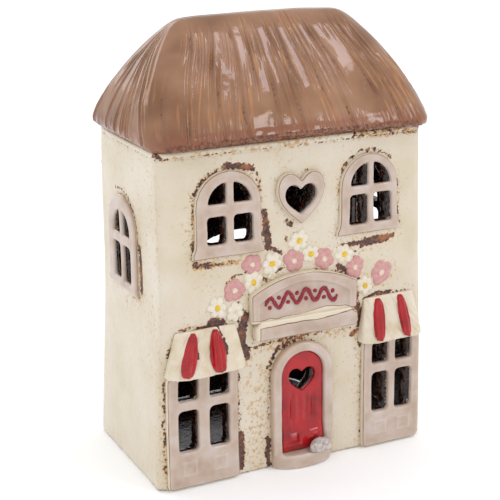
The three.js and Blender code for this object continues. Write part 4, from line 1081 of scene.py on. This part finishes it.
spun("foil_cup", [
    (0.05, 0.02), (17.6, 0.02), (18.5, 0.25), (18.95, 1), (19, 5), (19, 10), (19, 14.6), (19.2, 15.1),
    (19.5, 15.3), (19.5, 15.5), (19, 15.5), (18.5, 14.9), (18.5, 10), (18.5, 5), (18.4, 1.2), (17.6, 0.5),
    (0.05, 0.5),
], foil, "foil", ["foil_cup"], flutes=60, flute_depth=0.12)
spun("wax", [
    (6.8, 0.8), (17.3, 0.8), (18.2, 1.8), (18.2, 12.9), (17.9, 13), (17.2, 12.65), (15.5, 12.5), (9, 12.45),
    (3, 12.3), (1.6, 12.5), (1.05, 12.2), (1.05, 4.6), (1.75, 4.5), (1.75, 1.5), (6.8, 1.5),
], wax, "wax", ["wax"])
spun("wick_sustainer", [
    (1.0, 0.8), (6.5, 0.8), (6.5, 1.2), (1.45, 1.2), (1.4, 4.2), (1.0, 4.2),
], tinplate, "tin", ["wick_sustainer"])
wick_rings = 60
wick_around = 16
wick_rows = []
angles = np.arange(wick_around) * 2 * math.pi / wick_around
for share in np.linspace(0, 1, wick_rings):
    height = 1.1 + 17.6 * share
    braid = 0.66 + 0.06 * np.cos(3 * angles + height * 4) + 0.05 * np.cos(3 * angles - height * 4)
    wick_rows.append(level_ring(braid, height, 5.4 * max(0, share - 0.72) ** 2))
last = (wick_rings - 1) * wick_around
faces = [list(range(wick_around))[::-1], list(range(last, last + wick_around))]
faces += belts(wick_rings, wick_around).tolist()
add_piece("wick", np.concatenate(wick_rows), faces, cotton, "cotton", ["wick"], body="tealight")

# Studio: a pale floor, soft light all round and one window-shaped softbox that the roof reflects
floor_material = plain("matt_white_floor", "#fbfcfd", "#fafbfc", 40, 0.01, Roughness=0.9, IOR=1.4,
                       Emission_Color="#ffffff", Emission_Strength=0.07)
bpy.ops.mesh.primitive_plane_add(size=6, location=(0, 0, -0.0002))
floor = bpy.context.object
floor.name = "studio_floor"
floor.data.materials.append(floor_material)

world = bpy.data.worlds.new("studio")
world.use_nodes = True
background = world.node_tree.nodes["Background"]
background.inputs["Color"].default_value = linear("#ffffff")
background.inputs["Strength"].default_value = 1.0
bpy.context.scene.world = world


def softbox(name, toward, distance, width, height, brightness, upright=(0, 0, 1), tint="#ffffff"):
    """A softbox that faces the roof from this direction. brightness is how bright its face looks."""
    toward = Vector(toward).normalized()
    across = Vector(upright).cross(toward).normalized()
    light = bpy.data.lights.new(name, "AREA")
    light.shape = "RECTANGLE"
    light.size = width
    light.size_y = height
    light.energy = brightness * math.pi * width * height
    light.color = linear(tint)[:3]
    holder = bpy.data.objects.new(name, light)
    turn = Matrix((across, toward.cross(across), toward)).transposed()
    holder.matrix_world = Matrix.Translation(Vector((0.005, -0.02, 0.18)) + toward * distance) @ turn.to_4x4()
    bpy.context.scene.collection.objects.link(holder)


softbox("roof_softbox", (0.46, -0.29, 0.84), 1.0, 0.2, 0.44, 5.0, (0, 0.95, 0.31), "#f3eef8")
softbox("front_softbox", (0.47, -0.74, 0.48), 1.2, 0.22, 0.24, 5.4)
softbox("left_softbox", (-0.9, -0.45, 0.5), 1.2, 0.35, 0.5, 0.5)
softbox("back_softbox", (-0.3, 0.87, 0.45), 1.4, 1.0, 0.8, 1.3)

bpy.context.scene.view_settings.view_transform = "Standard"
